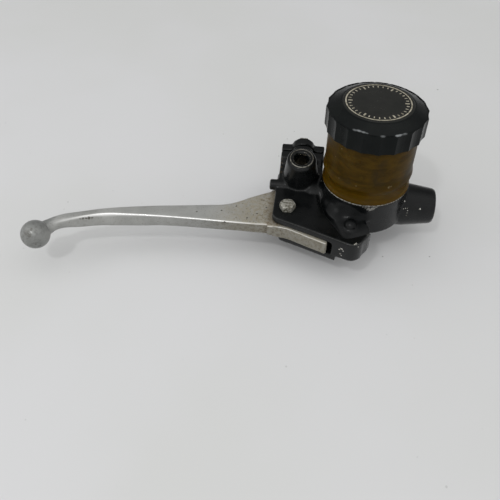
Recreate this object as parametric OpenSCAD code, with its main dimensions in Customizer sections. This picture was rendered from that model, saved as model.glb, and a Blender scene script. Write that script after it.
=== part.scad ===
// Front brake master cylinder for a motorcycle handlebar, with its lever and round reservoir.
// Millimetres, +Z up. The origin is the middle of the handlebar clamp, on the bar's axis.
// +X runs along the bar towards the hose outlet, and the lever lies towards -X.

/* [Handlebar clamp] */
// Diameter of the handlebar
bar_d = 22.2; // [20:0.1:25.4]
// Width of the clamp along the bar
clamp_w = 28.6; // [22:0.1:32]
// Lean of the clamp and the mirror boss against the reservoir, in degrees
clamp_tilt = 14; // [0:1:20]
// Wall of the clamp around the bar
clamp_wall = 4.2; // [3.5:0.1:6]
// Gap that stays open between the two clamp halves
clamp_gap = 0.6; // [0.5:0.1:2]
// Thickness of each clamp lug
lug_t = 6; // [5:0.1:8]
// Material between the bar and each clamp bolt's hole
bolt_wall = 4.9; // [3:0.1:6]
// Thread diameter of the clamp bolts
clamp_bolt_d = 6; // [5:0.5:7]

/* [Bore and outlet] */
// Diameter of the cylinder bore
bore_d = 14; // [12.7:0.1:15.9]
// Distance from the clamp's parting face forward to the bore's axis
bar_to_bore = 26; // [25.5:0.1:32]
// Height of the bore's axis above the handlebar's axis, along the clamp's lean
bore_rise = 6.1; // [4:0.1:9]
// Depth of the bore's axis under the reservoir's seat
bore_depth = 18.8; // [17:0.1:23]
// Outer diameter of the barrel where it leaves the pedestal
barrel_d = 28.2; // [24:0.1:30]
// Outer diameter of the barrel at the outlet face
outlet_face_d = 23; // [19:0.1:24]
// Distance from the reservoir's axis to the outlet face
outlet_reach = 46.5; // [42:0.1:54]
// Thread diameter of the hose outlet
outlet_thread_d = 10; // [8:1:12]
// Depth of the outlet thread
outlet_thread_depth = 12; // [9:0.5:14]
// Distance from the reservoir's axis to the mouth of the bore
mouth_reach = 35; // [33:0.1:37]

/* [Piston] */
// Travel of the piston that the layout allows
piston_stroke = 6.8; // [4:0.1:8]
// Gap between the piston and the bore, on the radius
piston_clearance = 0.05; // [0.02:0.01:0.09]
// Free gap between parts that move past each other
part_gap = 0.3; // [0.3:0.05:0.6]
// Length of the piston's two lands together with its waist
piston_body_l = 27; // [24:0.5:30]
// Wire diameter of the return spring
spring_wire_d = 1.2; // [1:0.1:1.4]
// Number of turns in the return spring
spring_turns = 7; // [5:1:9]

/* [Pedestal and reservoir] */
// Distance along the bar from the clamp's middle to the reservoir's axis
clamp_to_res = 41.5; // [41.2:0.1:48]
// Outer diameter of the pedestal under the reservoir
pedestal_d = 54.6; // [50:0.1:60]
// Height of the pedestal
pedestal_h = 23.5; // [18:0.5:26]
// Wall of the pedestal's skirt
pedestal_wall = 3.5; // [3:0.1:5]
// Outer diameter of the reservoir's body
res_d = 54; // [50:0.1:58]
// Height of the reservoir from its seat to its rim
res_h = 48.8; // [44:0.1:60]
// Wall of the reservoir
res_wall = 2.2; // [1.6:0.1:3]
// Thickness of the reservoir's floor
res_floor_t = 3; // [2.5:0.1:4]

/* [Cap] */
// Wall of the cap's skirt at its lobes
cap_wall = 3; // [2.6:0.1:5]
// Thickness of the cap's top
cap_top_t = 3.5; // [2.5:0.1:5]
// Height of the cap
cap_h = 16.1; // [13:0.1:24]
// Number of finger flats around the cap
cap_flats = 20; // [10:1:24]
// Depth of each finger flat
cap_flat_depth = 0.9; // [0.5:0.1:1.3]
// Lead of the cap's thread, the rise in one turn
cap_thread_lead = 4; // [3:0.5:6]

/* [Lever] */
// Thickness of the lever's blade
lever_t = 9; // [7:0.1:10]
// Distance along the bar from the pivot to the ball's middle
lever_reach = 155; // [120:1:180]
// Diameter of the ball at the lever's tip
ball_d = 18; // [15:0.1:22]
// Distance from the bore's axis to the pivot, the arm that pushes the piston
cam_arm = 24.2; // [23:0.1:28]
// Distance along the bar from the pivot to the reservoir's axis
pivot_to_res = 47.7; // [46:0.1:50]
// Gap above and below the lever in its slot
lever_side_gap = 0.3; // [0.3:0.05:0.6]
// Thickness of the plate above the lever
top_plate_t = 4.5; // [4:0.1:6]
// Thickness of the plate below the lever
low_plate_t = 3.9; // [3.5:0.1:6]
// Angle that the lever swings when it is pulled, in degrees
lever_pull = 16; // [8:1:16]

/* [Lever pivot] */
// Diameter of the pivot bolt's shank
pivot_d = 8; // [6:0.5:9]
// Width across flats of the pivot bolt's head
pivot_head_af = 10; // [10:0.5:14]
// Gap between the pivot bolt and the lever's bush, on the radius
pivot_clearance = 0.05; // [0.02:0.01:0.09]
// Wall of the lever's bush
bush_wall = 1.5; // [1:0.1:2]

/* [Mirror boss] */
// Thread diameter of the mirror's hole
mirror_thread_d = 10; // [8:1:10]
// Diameter of the boss at its top face
mirror_top_d = 18.6; // [17:0.1:20]
// Diameter of the boss at its foot
mirror_foot_d = 25; // [22:0.1:27]
// Height of the boss's top face above the bar's axis, along its own lean
mirror_top_u = 35.3; // [32:0.1:40]
// Distance from the clamp's parting face forward to the boss's axis
mirror_forward = 18.4; // [15:0.1:20]
// Depth of the mirror's thread
mirror_thread_depth = 14; // [10:0.5:16]

/* [Hidden] */
$fn = 64;

eps = 0.01;

// Colours
black_paint = [0.05, 0.05, 0.055];
black_plastic = [0.07, 0.07, 0.075];
amber = [0.45, 0.29, 0.07];
alloy = [0.68, 0.67, 0.64];
zinc = [0.72, 0.70, 0.62];
steel = [0.60, 0.61, 0.62];
rubber = [0.10, 0.10, 0.10];
brass = [0.72, 0.58, 0.30];

// Places, worked out from the bar's axis
bar_r = bar_d / 2;
res_x = clamp_to_res;
bore_y = -bar_to_bore * cos(clamp_tilt) - bore_rise * sin(clamp_tilt);
bore_z = -bar_to_bore * sin(clamp_tilt) + bore_rise * cos(clamp_tilt);
seat_z = bore_z + bore_depth;
pivot_x = res_x - pivot_to_res;
pivot_y = bore_y - cam_arm;

// Clamp, its bolts and washers
clamp_r = bar_r + clamp_wall;
bolt_hole_d = clamp_bolt_d + 0.6;
bolt_u = bar_r + bolt_wall + bolt_hole_d / 2;
upper_lug_r = 7.5;
lower_lug_r = 6.4;
lug_end_u = bolt_u + 0.8;
tapped_bolt_d = clamp_bolt_d - 1;
thread_wall = 1.2;
bolt_thread_l = mirror_forward - mirror_thread_d / 2 - thread_wall;
bar_relief = 0.6;
boss_foot_u = bore_rise + 6;
spot_depth = 1.4;
clamp_washer_d = 11;
clamp_washer_t = 1;
clamp_head_h = 3.4;
clamp_head_af = 8;
bolt_grip = clamp_gap;

// Fork around the lever, heights from the bore's axis
slot_top = lever_t / 2 + lever_side_gap;
plate_top = slot_top + top_plate_t;
slot_low = -slot_top;
plate_low = slot_low - low_plate_t;
flank_x = 9;
block_low = -4.9;
block_x = 29.2;
low_plate_x = block_x + 3.1;
pocket_depth = 5;
pocket_draft = 1.6;
slope_rise = 1.2;
knob_d = 7.2;
knob_angle = 257;
knob_reach = 35;
knob_z = plate_top - 1.4;

// Seats in the casting
well_d = 24;
well_depth = 3;
boot_seat_d = bore_d + 3.6;
boot_seat_depth = 4;

// Places along the bore, counted from the reservoir's axis towards the outlet
bore_end = outlet_reach - outlet_thread_depth;
outlet_core_d = outlet_thread_d - 1.2;
piston_back = -mouth_reach + boot_seat_depth + part_gap;
piston_head = piston_back + piston_body_l;
land_d = bore_d - 2 * piston_clearance;
waist_d = 9;
tail_d = 8;
land_l = 4;
rear_land_l = 7;
spigot_d = 6;
cup_l = 4.4;
relief_port_s = piston_head + cup_l + 1.4;
feed_port_s = piston_head - land_l - 4;
cam_r = 4.2;
cam_gap = part_gap;
cam_face_s = -pivot_to_res + cam_r;
spring_start = piston_head + cup_l + part_gap;
valve_l = 4.5;
spring_end = bore_end - valve_l - 0.4;
seal_groove_d = 9;
seal_groove_l = 2.6;
seal_groove_s = piston_back + 3;
tail_ball_s = cam_face_s + cam_gap + tail_d / 2;
spring_d = bore_d - spring_wire_d - 1.2;
spring_steps = 14;
washer_t = 1.2;
circlip_t = 1;
boot_l = 3.2;
boot_start = piston_back - part_gap - washer_t - circlip_t - boot_l;

// Lever and its pivot
hub_r = 9.8;
hub_end = 12.3;
blade_root = hub_end - 1.1;
nose_x = 26.2;
bush_d = pivot_d + 2 * pivot_clearance + 2 * bush_wall;
pivot_head_h = 3.8;
pivot_washer_t = 1.2;
pivot_nut_h = 5;
pivot_stud_d = 6;

// Reservoir, heights from its seat
seal_wire = 2;
seal_squeeze = 0.3;
seal_ring_d = res_d - 10;
res_bore_d = res_d - 2 * res_wall;
rim_z = res_h;
floor_hole_d = 22;
retainer_pcd = res_d - 20;
retainer_screw_d = 4;
retainer_angles = [30, 150, 270];
retainer_t = 1.6;
retainer_head_h = 2.2;
clamped_t = res_floor_t + retainer_t;
screw_thread_l = 5.8;
neck_d = res_d - 1.2;

// Cap and diaphragm, heights from the reservoir's seat
diaphragm_t = 1.5;
plate_t = 1.2;
cap_thread_gap = 0.4;
cap_bore_d = neck_d + 2 * cap_thread_gap;
cap_d = cap_bore_d + 2 * cap_wall;
cap_ceiling_z = rim_z + diaphragm_t + plate_t + 2 * part_gap;
cap_top_z = cap_ceiling_z + cap_top_t;
cap_skirt_z = cap_top_z - cap_h;
neck_z = cap_skirt_z - 1.4;
fold_r = res_bore_d / 2;
fold_depth = 11;
flat_r = 17;
cap_flats_turn = 2.3;
cap_slope_h = 4.3;
cap_disc_r = cap_d / 2 - 9.1;

// Each module below moves its children from a local frame into the part's frame.
module at_clamp() rotate([clamp_tilt, 0, 0]) children();
module at_seat() translate([res_x, bore_y, seat_z]) children();
module at_bore() translate([res_x, bore_y, bore_z]) rotate([0, 90, 0]) children();
module at_pivot() translate([pivot_x, pivot_y, bore_z]) children();

// A hollow cylinder
module tube(h, d_out, d_in) difference() {
  cylinder(h = h, d = d_out);
  translate([0, 0, -1]) cylinder(h = h + 2, d = d_in);
}

// A solid skinned over rings that have the same number of points
module loft(rings) {
  n = len(rings[0]);
  polyhedron(
    [for (ring = rings) each ring],
    concat(
      [for (i = [0:len(rings) - 2], k = [0:n - 1])
        [i * n + k, i * n + (k + 1) % n, (i + 1) * n + (k + 1) % n, (i + 1) * n + k]],
      [[for (k = [n - 1:-1:0]) k], [for (k = [0:n - 1]) (len(rings) - 1) * n + k]]
    ));
}

// Points of an arc from angle a0 to a1
function arc(cx, cy, r, a0, a1, n) =
  [for (i = [0:n]) [cx + r * cos(a0 + (a1 - a0) * i / n), cy + r * sin(a0 + (a1 - a0) * i / n)]];

// ---------------------------------------------------------------- handlebar clamp

// The outline of one clamp half across the bar, in the clamp's frame: Y is the half's depth.
module lug_bosses(depth) {
  translate([0, 0, bolt_u]) rotate([-90, 0, 0]) cylinder(h = depth, r = upper_lug_r);
  translate([0, 0, -bolt_u]) rotate([-90, 0, 0]) cylinder(h = depth, r = lower_lug_r);
}

module along_bar(w) translate([-w / 2, 0, 0]) rotate([90, 0, 90]) linear_extrude(w) children();

module clamp_half_on_body() at_clamp() {
  along_bar(clamp_w) polygon([
    [-clamp_gap / 2, lug_end_u], [-lug_t, lug_end_u],
    [-lug_t - 3, bolt_u - 3], [-bar_to_bore, bore_rise + barrel_d / 2 - 2.2],
    [-bar_to_bore, bore_rise - barrel_d / 2 + 2.2], [-lug_t - 3, -bolt_u + 2],
    [-lug_t, -lug_end_u], [-clamp_gap / 2, -lug_end_u]
  ]);
  translate([0, -bolt_thread_l - 2, 0]) lug_bosses(bolt_thread_l + 2 - clamp_gap / 2);
}

module clamp_cap() color(black_paint) at_clamp() difference() {
  union() {
    along_bar(clamp_w) difference() {
      union() {
        circle(r = clamp_r);
        translate([0, -lug_end_u]) square([lug_t, 2 * lug_end_u]);
      }
      translate([clamp_gap / 2 - 2 * clamp_r, -2 * clamp_r]) square([2 * clamp_r, 4 * clamp_r]);
    }
    translate([0, clamp_gap / 2, 0]) lug_bosses(lug_t - clamp_gap / 2);
  }
  rotate([0, 90, 0]) cylinder(h = 3 * clamp_w, r = bar_r, center = true);
  for (side = [-1, 1]) translate([0, 0, side * bolt_u]) rotate([-90, 0, 0]) {
    cylinder(h = 3 * lug_t, d = bolt_hole_d);
    translate([0, 0, lug_t - spot_depth]) cylinder(h = lug_t, d = clamp_washer_d + 0.6);
  }
}

module at_clamp_bolt(side) at_clamp()
  translate([0, lug_t - spot_depth, side * bolt_u]) rotate([-90, 0, 0]) children();

module clamp_washer(side) color(zinc) at_clamp_bolt(side)
  tube(clamp_washer_t, clamp_washer_d, clamp_bolt_d + 0.4);

module clamp_bolt(side) color(zinc) at_clamp_bolt(side) {
  translate([0, 0, clamp_washer_t]) cylinder(h = clamp_head_h, d = clamp_head_af / cos(30), $fn = 6);
  translate([0, 0, clamp_gap / 2 - lug_t + spot_depth - bolt_grip])
    cylinder(h = clamp_washer_t + lug_t - clamp_gap / 2 - spot_depth + bolt_grip + eps, d = clamp_bolt_d);
  translate([0, 0, spot_depth - lug_t - bolt_thread_l + 0.6])
    cylinder(h = bolt_thread_l, d = tapped_bolt_d);
}

// ---------------------------------------------------------------- the cast body

// Outline of the plate over the lever, seen from above, from the pivot
plate_outline = concat(
  [[-flank_x, cam_arm + 9]],
  arc(-flank_x + 5, -6.3, 5, 180, 247, 4),
  [[6.3, -15.4], [12.8, -17.9], [28.5, -24.2]],
  arc(41, -21.3, 7.3, 252, 345, 6),
  [[51, -18.8], [52.6, -14.8], [52, -11], [47, -2], [pivot_to_res, cam_arm], [20, cam_arm + 9]]
);

// What the lower plate keeps of that outline: its front corner on the lever's side is cut back
low_plate_limit = [
  [-flank_x - 1, 60], [-flank_x - 1, 1], [-3.5, -11.6], [-3.5, -60], [low_plate_x, -60], [low_plate_x, 60]
];

// Outline of the slot that the lever turns in: open to the front and to the side
slot_outline = [
  [-80, -70], [block_x, -70], [block_x, -12], [18, -1],
  [pivot_to_res - mouth_reach, 6], [pivot_to_res - mouth_reach, cam_arm + cam_r + 1.2],
  [-80, cam_arm + cam_r + 1.2]
];

// Ridge of the pocket between the plate and the pedestal
pocket_ridge = [
  [18, 18.5], [19.3, 8.5], [22.2, -0.9], [26.4, -7.5], [31.3, -14.9], [36.1, -23.2], [40.7, -22.1],
  [46, -19.7], [55, -14.4], [58, -5], [pivot_to_res, cam_arm - 8], [pivot_to_res - 22, cam_arm - 4]
];

// Steep-sided pocket, drafted as a casting needs it
module plate_pocket() hull() {
  translate([0, 0, plate_top]) linear_extrude(1) polygon(pocket_ridge);
  translate([0, 0, plate_top - pocket_depth]) linear_extrude(1)
    offset(delta = -pocket_draft) polygon(pocket_ridge);
}

// The pedestal's foot runs out in a slope to the bottom of the pocket, inside the plate's outline
module pocket_slope() intersection() {
  hull() {
    translate([pivot_to_res, cam_arm, plate_top]) cylinder(h = slope_rise, d = pedestal_d - 0.6);
    translate([0, 0, plate_top - pocket_depth]) linear_extrude(eps)
      offset(delta = -pocket_draft) polygon(pocket_ridge);
  }
  translate([0, 0, -plate_top]) linear_extrude(3 * plate_top) polygon(plate_outline);
}

module fork() at_pivot() difference() {
  union() {
    difference() {
      translate([0, 0, block_low]) linear_extrude(plate_top - block_low) polygon(plate_outline);
      plate_pocket();
    }
    pocket_slope();
    translate([0, 0, plate_low]) linear_extrude(block_low - plate_low + 1) intersection() {
      polygon(plate_outline);
      polygon(low_plate_limit);
    }
  }
  translate([pivot_to_res, cam_arm, -40])
    cylinder(h = 40 + bore_depth - 8, d = pedestal_d - 2 * pedestal_wall);
}

module pedestal() at_seat() {
  difference() {
    translate([0, 0, -pedestal_h]) cylinder(h = pedestal_h, d = pedestal_d);
    translate([0, 0, -pedestal_h - 1]) cylinder(h = pedestal_h - 7, d = pedestal_d - 2 * pedestal_wall);
  }
  for (a = [0, 90]) rotate([0, 0, a])
    translate([-pedestal_d / 2 + 2, -1.5, -bore_depth]) cube([pedestal_d - 4, 3, bore_depth - 2]);
}

module barrel() at_bore() {
  translate([0, 0, -mouth_reach]) cylinder(h = mouth_reach + pedestal_d / 2, d = barrel_d - 2);
  cylinder(h = pedestal_d / 2, d = barrel_d);
  translate([0, 0, pedestal_d / 2 - eps])
    cylinder(h = outlet_reach - pedestal_d / 2 - 1.5, d1 = barrel_d, d2 = outlet_face_d);
  translate([0, 0, outlet_reach - 1.5 - 2 * eps])
    cylinder(h = 1.5 + 2 * eps, d1 = outlet_face_d, d2 = outlet_face_d - 2);
}

module mirror_boss() at_clamp() translate([0, -mirror_forward, 0]) {
  chamfer = 1.3;
  translate([0, 0, boss_foot_u])
    cylinder(h = mirror_top_u - chamfer - boss_foot_u, d1 = mirror_foot_d, d2 = mirror_top_d);
  translate([0, 0, mirror_top_u - chamfer - eps])
    cylinder(h = chamfer, d1 = mirror_top_d, d2 = mirror_top_d - 2.4);
  translate([0, 0, boss_foot_u]) cylinder(h = 4.5, d1 = mirror_foot_d + 2.2, d2 = mirror_foot_d - 0.6);
}

// Short round stub on the casting's left flank
module flank_stub() at_pivot() translate([-flank_x - 4.5, cam_arm - 1.5, plate_top - 1])
  rotate([0, 90, 0]) cylinder(h = 12, d = 7.4);

// Small round-nosed boss on that slope, in front of the pedestal
module front_knob() at_seat() rotate([0, 0, knob_angle])
  translate([knob_reach, 0, knob_z - bore_depth]) rotate([0, 40, 0]) {
    translate([0, 0, -knob_d / 2]) cylinder(h = knob_d / 2 + 1, d = knob_d);
    translate([0, 0, 1]) scale([1, 1, 0.5]) sphere(d = knob_d);
  }

module body_cuts() {
  // bore, its counterbore for the boot and the relief that the boring bar leaves in the fork
  at_bore() {
    translate([0, 0, -mouth_reach - 40]) cylinder(h = mouth_reach + 40 + bore_end, d = bore_d);
    translate([0, 0, -mouth_reach - 5]) cylinder(h = 5 + boot_seat_depth, d = boot_seat_d);
    translate([0, 0, bore_end - eps]) cylinder(h = 60, d = outlet_core_d);
    translate([0, 0, outlet_reach - 0.8])
      cylinder(h = 0.81, d1 = outlet_core_d, d2 = outlet_thread_d + 0.4);
  }
  // well under the reservoir with its two ports
  at_seat() translate([0, 0, -well_depth]) cylinder(h = well_depth + 1, d = well_d);
  for (port = [[feed_port_s, 3], [relief_port_s, 1]])
    translate([res_x + port[0], bore_y, bore_z]) cylinder(h = bore_depth, d = port[1]);
  // lever slot and pivot hole
  at_pivot() {
    translate([0, 0, slot_low]) linear_extrude(slot_top - slot_low) polygon(slot_outline);
    translate([0, 0, -40]) cylinder(h = 80, d = pivot_d + 0.2);
  }
  // bar, its relief beside the clamp, clamp bolts and mirror hole
  at_clamp() {
    rotate([0, 90, 0]) cylinder(h = 3 * clamp_w, r = bar_r, center = true);
    translate([clamp_w / 2, 0, 0]) rotate([0, 90, 0]) cylinder(h = 100, r = bar_r + bar_relief);
    for (side = [-1, 1]) translate([0, -bolt_thread_l, side * bolt_u]) rotate([-90, 0, 0])
      cylinder(h = 2 * bolt_thread_l, d = tapped_bolt_d);
    translate([0, -mirror_forward, mirror_top_u - mirror_thread_depth])
      cylinder(h = mirror_thread_depth + 1, d = mirror_thread_d - 1.2);
    translate([0, -mirror_forward, mirror_top_u - 1])
      cylinder(h = 1.01, d1 = mirror_thread_d - 1.2, d2 = mirror_thread_d + 0.8);
  }
  // screw holes for the reservoir's retainer
  for (a = retainer_angles) at_seat() rotate([0, 0, a])
    translate([retainer_pcd / 2, 0, -screw_thread_l - 0.4]) cylinder(h = 20, d = retainer_screw_d - 0.8);
}

module cylinder_body() color(black_paint) difference() {
  union() {
    pedestal();
    barrel();
    fork();
    clamp_half_on_body();
    mirror_boss();
    flank_stub();
    front_knob();
  }
  body_cuts();
}

// ---------------------------------------------------------------- piston and what works with it

module piston() color(brass) at_bore() difference() {
  union() {
    translate([0, 0, piston_back]) cylinder(h = piston_body_l, d = waist_d);
    translate([0, 0, piston_back]) cylinder(h = rear_land_l, d = land_d);
    translate([0, 0, piston_head - land_l]) cylinder(h = land_l, d = land_d);
    translate([0, 0, piston_head]) cylinder(h = cup_l - 1, d = spigot_d);
    translate([0, 0, tail_ball_s]) cylinder(h = piston_back - tail_ball_s + 1, d = tail_d);
    translate([0, 0, tail_ball_s]) sphere(d = tail_d);
  }
  translate([0, 0, seal_groove_s]) tube(seal_groove_l, bore_d + 2, seal_groove_d);
}

// Rubber lip seal: flat at its heel and flared at its lip
module lip_seal(length, d_in) rotate_extrude() polygon([
  [d_in / 2, 0], [land_d / 2 - 0.3, 0], [land_d / 2, length], [land_d / 2 - 1.2, length],
  [land_d / 2 - 1.8, length * 0.45], [d_in / 2, length * 0.45]
]);

module primary_cup() color(rubber) at_bore() translate([0, 0, piston_head]) lip_seal(cup_l, spigot_d);

module secondary_cup() color(rubber) at_bore()
  translate([0, 0, seal_groove_s]) tube(seal_groove_l, land_d, seal_groove_d);

// Return spring: one round wire swept along a helix whose end turns lie closer
function helix_point(t) = [
  spring_d / 2 * cos(t * 360 * spring_turns), spring_d / 2 * sin(t * 360 * spring_turns),
  spring_start + spring_wire_d / 2 + (spring_end - spring_start - spring_wire_d) * t
];

helix = [for (i = [0:spring_turns * spring_steps]) helix_point(i / (spring_turns * spring_steps))];
function tube_ring(path, i, r, sides) = let (
    a = path[max(i - 1, 0)], b = path[min(i + 1, len(path) - 1)],
    dir = (b - a) / norm(b - a),
    side = cross(dir, [0, 0, 1]) / norm(cross(dir, [0, 0, 1])),
    up = cross(side, dir)
  ) [for (k = [0:sides - 1]) path[i] + r * cos(k * 360 / sides) * side + r * sin(k * 360 / sides) * up];

module return_spring() color(steel) at_bore()
  loft([for (i = [0:len(helix) - 1]) tube_ring(helix, i, spring_wire_d / 2, 6)]);

module check_valve() color(brass) at_bore() translate([0, 0, bore_end - valve_l]) difference() {
  union() {
    cylinder(h = valve_l, d = bore_d - 0.4);
    translate([0, 0, -1.5]) cylinder(h = 2, d = spring_d - spring_wire_d - 0.8);
  }
  translate([0, 0, -3]) cylinder(h = valve_l + 4, d = 2.4);
  translate([0, 0, 1.6]) tube(1.4, bore_d, bore_d - 3);
}

module stop_washer() color(steel) at_bore()
  translate([0, 0, piston_back - part_gap - washer_t]) tube(washer_t, boot_seat_d - 0.2, tail_d + 0.6);

module circlip() color(steel) at_bore()
  translate([0, 0, piston_back - part_gap - washer_t - circlip_t]) difference() {
    tube(circlip_t, boot_seat_d, boot_seat_d - 3.6);
    translate([-1.5, 0, -1]) cube([3, bore_d, 3]);
  }

// Dust boot: a rubber ring in the bore's mouth with two bellows folds and a lip round the tail
module dust_boot() color(rubber) at_bore() translate([0, 0, boot_start]) rotate_extrude() polygon([
  [tail_d / 2 + part_gap, 0], [tail_d / 2 + 1.2, 0], [tail_d / 2 + 1.8, 1],
  [boot_seat_d / 2 - 1.6, 0.7], [boot_seat_d / 2 - 0.1, 1.2],
  [boot_seat_d / 2 - 0.1, boot_l], [boot_seat_d / 2 - 2, boot_l],
  [tail_d / 2 + 1.6, 2.2], [tail_d / 2 + part_gap, 1.4]
]);

// ---------------------------------------------------------------- lever

// Outline of the lever inside the fork, seen from above, from the pivot
hub_outline = concat(
  [[-hub_end, -13.1], [-8, -13.2], [1.1, -14.5], [7, -16.9], [13.6, -19.8], [20, -22.4]],
  [[nose_x - 1, -24.6]], [[nose_x, -23.8]], [[nose_x, -17.4]], [[nose_x - 1.4, -16]],
  arc(0, 0, hub_r, -38, 14, 5),
  [[cam_r, 14]],
  arc(0, cam_arm, cam_r, 0, 140, 8),
  [[-hub_end, 21.7]]
);

// Shape of the blade and finger: share of the way to the ball, sideways place, half width,
// half thickness as a share of the lever's, and squareness
lever_form = [
  [0.000, 4.4, 17.6, 1.00, 9], [0.046, 2.1, 15.1, 1.00, 9], [0.091, 0, 12.6, 1.00, 8],
  [0.154, -2.3, 9.9, 0.99, 7], [0.224, -4, 8.1, 0.98, 6], [0.313, -5.4, 6.8, 0.97, 6],
  [0.424, -6.8, 5.8, 0.96, 5], [0.537, -8.5, 5.1, 0.95, 5], [0.677, -11.9, 4.7, 0.93, 4.5],
  [0.774, -15, 4.5, 0.90, 4], [0.844, -18, 4.1, 0.86, 3.5], [0.898, -21.4, 3.7, 0.80, 2.8],
  [0.946, -26, 3.8, 0.82, 2.2], [0.970, -29.2, 4.8, 1.08, 2]
];
ball_y = -34.5;
ring_sides = 20;

function power(v, n) = sign(v) * pow(abs(v), 2 / n);
function form_point(i) =
  [-blade_root - lever_form[i][0] * (lever_reach - blade_root), lever_form[i][1], 0];
function lever_ring(i) = let (
    last = len(lever_form) - 1,
    a = form_point(max(i - 1, 0)), b = form_point(min(i + 1, last)),
    dir = i == 0 ? [-1, 0, 0] : (b - a) / norm(b - a),
    side = [-dir[1], dir[0], 0], f = lever_form[i]
  ) [for (k = [0:ring_sides - 1]) let (c = cos(k * 360 / ring_sides), s = sin(k * 360 / ring_sides))
      form_point(i) + f[2] * power(c, f[4]) * side + [0, 0, -f[3] * lever_t / 2 * power(s, f[4])]];

module lever_blade() loft([for (i = [0:len(lever_form) - 1]) lever_ring(i)]);

module lever() color(alloy) at_pivot() difference() {
  union() {
    translate([0, 0, -lever_t / 2]) linear_extrude(lever_t) polygon(hub_outline);
    lever_blade();
    translate([-lever_reach, ball_y, 0]) sphere(d = ball_d);
  }
  translate([0, 0, -lever_t]) cylinder(h = 2 * lever_t, d = bush_d);
}

module lever_bush() color(brass) at_pivot()
  translate([0, 0, -lever_t / 2]) tube(lever_t, bush_d, pivot_d + 2 * pivot_clearance);

module pivot_bolt() color(zinc) at_pivot() {
  translate([0, 0, plate_top]) intersection() {
    cylinder(h = pivot_head_h, d = pivot_head_af / cos(30), $fn = 6);
    cylinder(h = pivot_head_h, d1 = pivot_head_af + 6.5, d2 = pivot_head_af - 0.3);
  }
  translate([0, 0, plate_low]) cylinder(h = plate_top - plate_low + eps, d = pivot_d);
  translate([0, 0, plate_low - pivot_washer_t - pivot_nut_h - 1])
    cylinder(h = pivot_washer_t + pivot_nut_h + 1 + eps, d = pivot_stud_d);
}

module pivot_washer() color(zinc) at_pivot()
  translate([0, 0, plate_low - pivot_washer_t]) tube(pivot_washer_t, 12, pivot_stud_d + 0.2);

module pivot_nut() color(zinc) at_pivot()
  translate([0, 0, plate_low - pivot_washer_t - pivot_nut_h]) difference() {
    cylinder(h = pivot_nut_h, d = 10 / cos(30), $fn = 6);
    translate([0, 0, -1]) cylinder(h = pivot_nut_h + 2, d = pivot_stud_d);
  }

// ---------------------------------------------------------------- reservoir

module reservoir() color(amber, 0.75) at_seat() difference() {
  rotate_extrude() polygon([
    [0, 0], [res_d / 2 + 0.5, 0], [res_d / 2 + 0.5, 1.6], [res_d / 2 - 0.8, 3], [res_d / 2 - 0.8, 5.6],
    [res_d / 2 + 0.8, 10.8], [res_d / 2 + 0.8, 12.2], [res_d / 2, 14], [res_d / 2, neck_z],
    [neck_d / 2, neck_z + 0.6], [neck_d / 2, rim_z], [0, rim_z]
  ]);
  translate([0, 0, res_floor_t]) cylinder(h = res_h, d = res_bore_d);
  translate([0, 0, -1]) cylinder(h = res_h, d = floor_hole_d);
  translate([0, 0, -1])
    tube(1 + seal_wire - seal_squeeze, seal_ring_d + seal_wire + 0.2, seal_ring_d - seal_wire - 0.2);
  for (a = retainer_angles) rotate([0, 0, a]) translate([retainer_pcd / 2, 0, -1])
    cylinder(h = res_h, d = retainer_screw_d + 0.6);
}

module reservoir_seal() color(rubber) at_seat()
  translate([0, 0, (seal_wire - seal_squeeze) / 2]) rotate_extrude() translate([seal_ring_d / 2, 0])
    circle(d = seal_wire - seal_squeeze, $fn = 24);

module retainer_plate() color(zinc) at_seat() translate([0, 0, res_floor_t]) difference() {
  cylinder(h = retainer_t, d = retainer_pcd + 9);
  translate([0, 0, -1]) cylinder(h = 4, d = floor_hole_d - 2);
  for (a = retainer_angles) rotate([0, 0, a]) translate([retainer_pcd / 2, 0, -1])
    cylinder(h = 4, d = retainer_screw_d + 0.4);
}

module retainer_screw(a) color(zinc) at_seat() rotate([0, 0, a])
  translate([retainer_pcd / 2, 0, res_floor_t + retainer_t]) difference() {
    union() {
      cylinder(h = retainer_head_h, d1 = 7, d2 = 5.6);
      translate([0, 0, eps - clamped_t]) cylinder(h = clamped_t, d = retainer_screw_d);
      translate([0, 0, -clamped_t - screw_thread_l])
        cylinder(h = screw_thread_l + 0.1, d = retainer_screw_d - 0.8);
    }
    for (t = [0, 90]) rotate([0, 0, t]) translate([-2, -0.4, retainer_head_h - 1]) cube([4, 0.8, 2]);
  }

// ---------------------------------------------------------------- cap, plate and diaphragm

// Bellows diaphragm: a flange on the reservoir's rim and a folded cup that hangs inside
module diaphragm() color(rubber) at_seat() translate([0, 0, rim_z]) rotate_extrude() polygon([
  [0, diaphragm_t], [fold_r - 14.8, diaphragm_t], [fold_r - 12.3, -4], [fold_r - 10.2, -fold_depth],
  [fold_r - 7.4, -fold_depth], [fold_r - 4.9, diaphragm_t],
  [neck_d / 2 - 0.2, diaphragm_t], [neck_d / 2 - 0.2, 0], [fold_r - 0.6, 0], [fold_r - 0.6, -diaphragm_t],
  [fold_r - 3.5, -diaphragm_t], [fold_r - 6.4, -fold_depth - diaphragm_t],
  [fold_r - 11.2, -fold_depth - diaphragm_t], [fold_r - 13.6, -4.2], [fold_r - 15.6, 0], [0, 0]
]);

module cap_plate() color(black_plastic) at_seat()
  translate([0, 0, rim_z + diaphragm_t + part_gap]) tube(plate_t, neck_d - 0.6, floor_hole_d);

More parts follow.
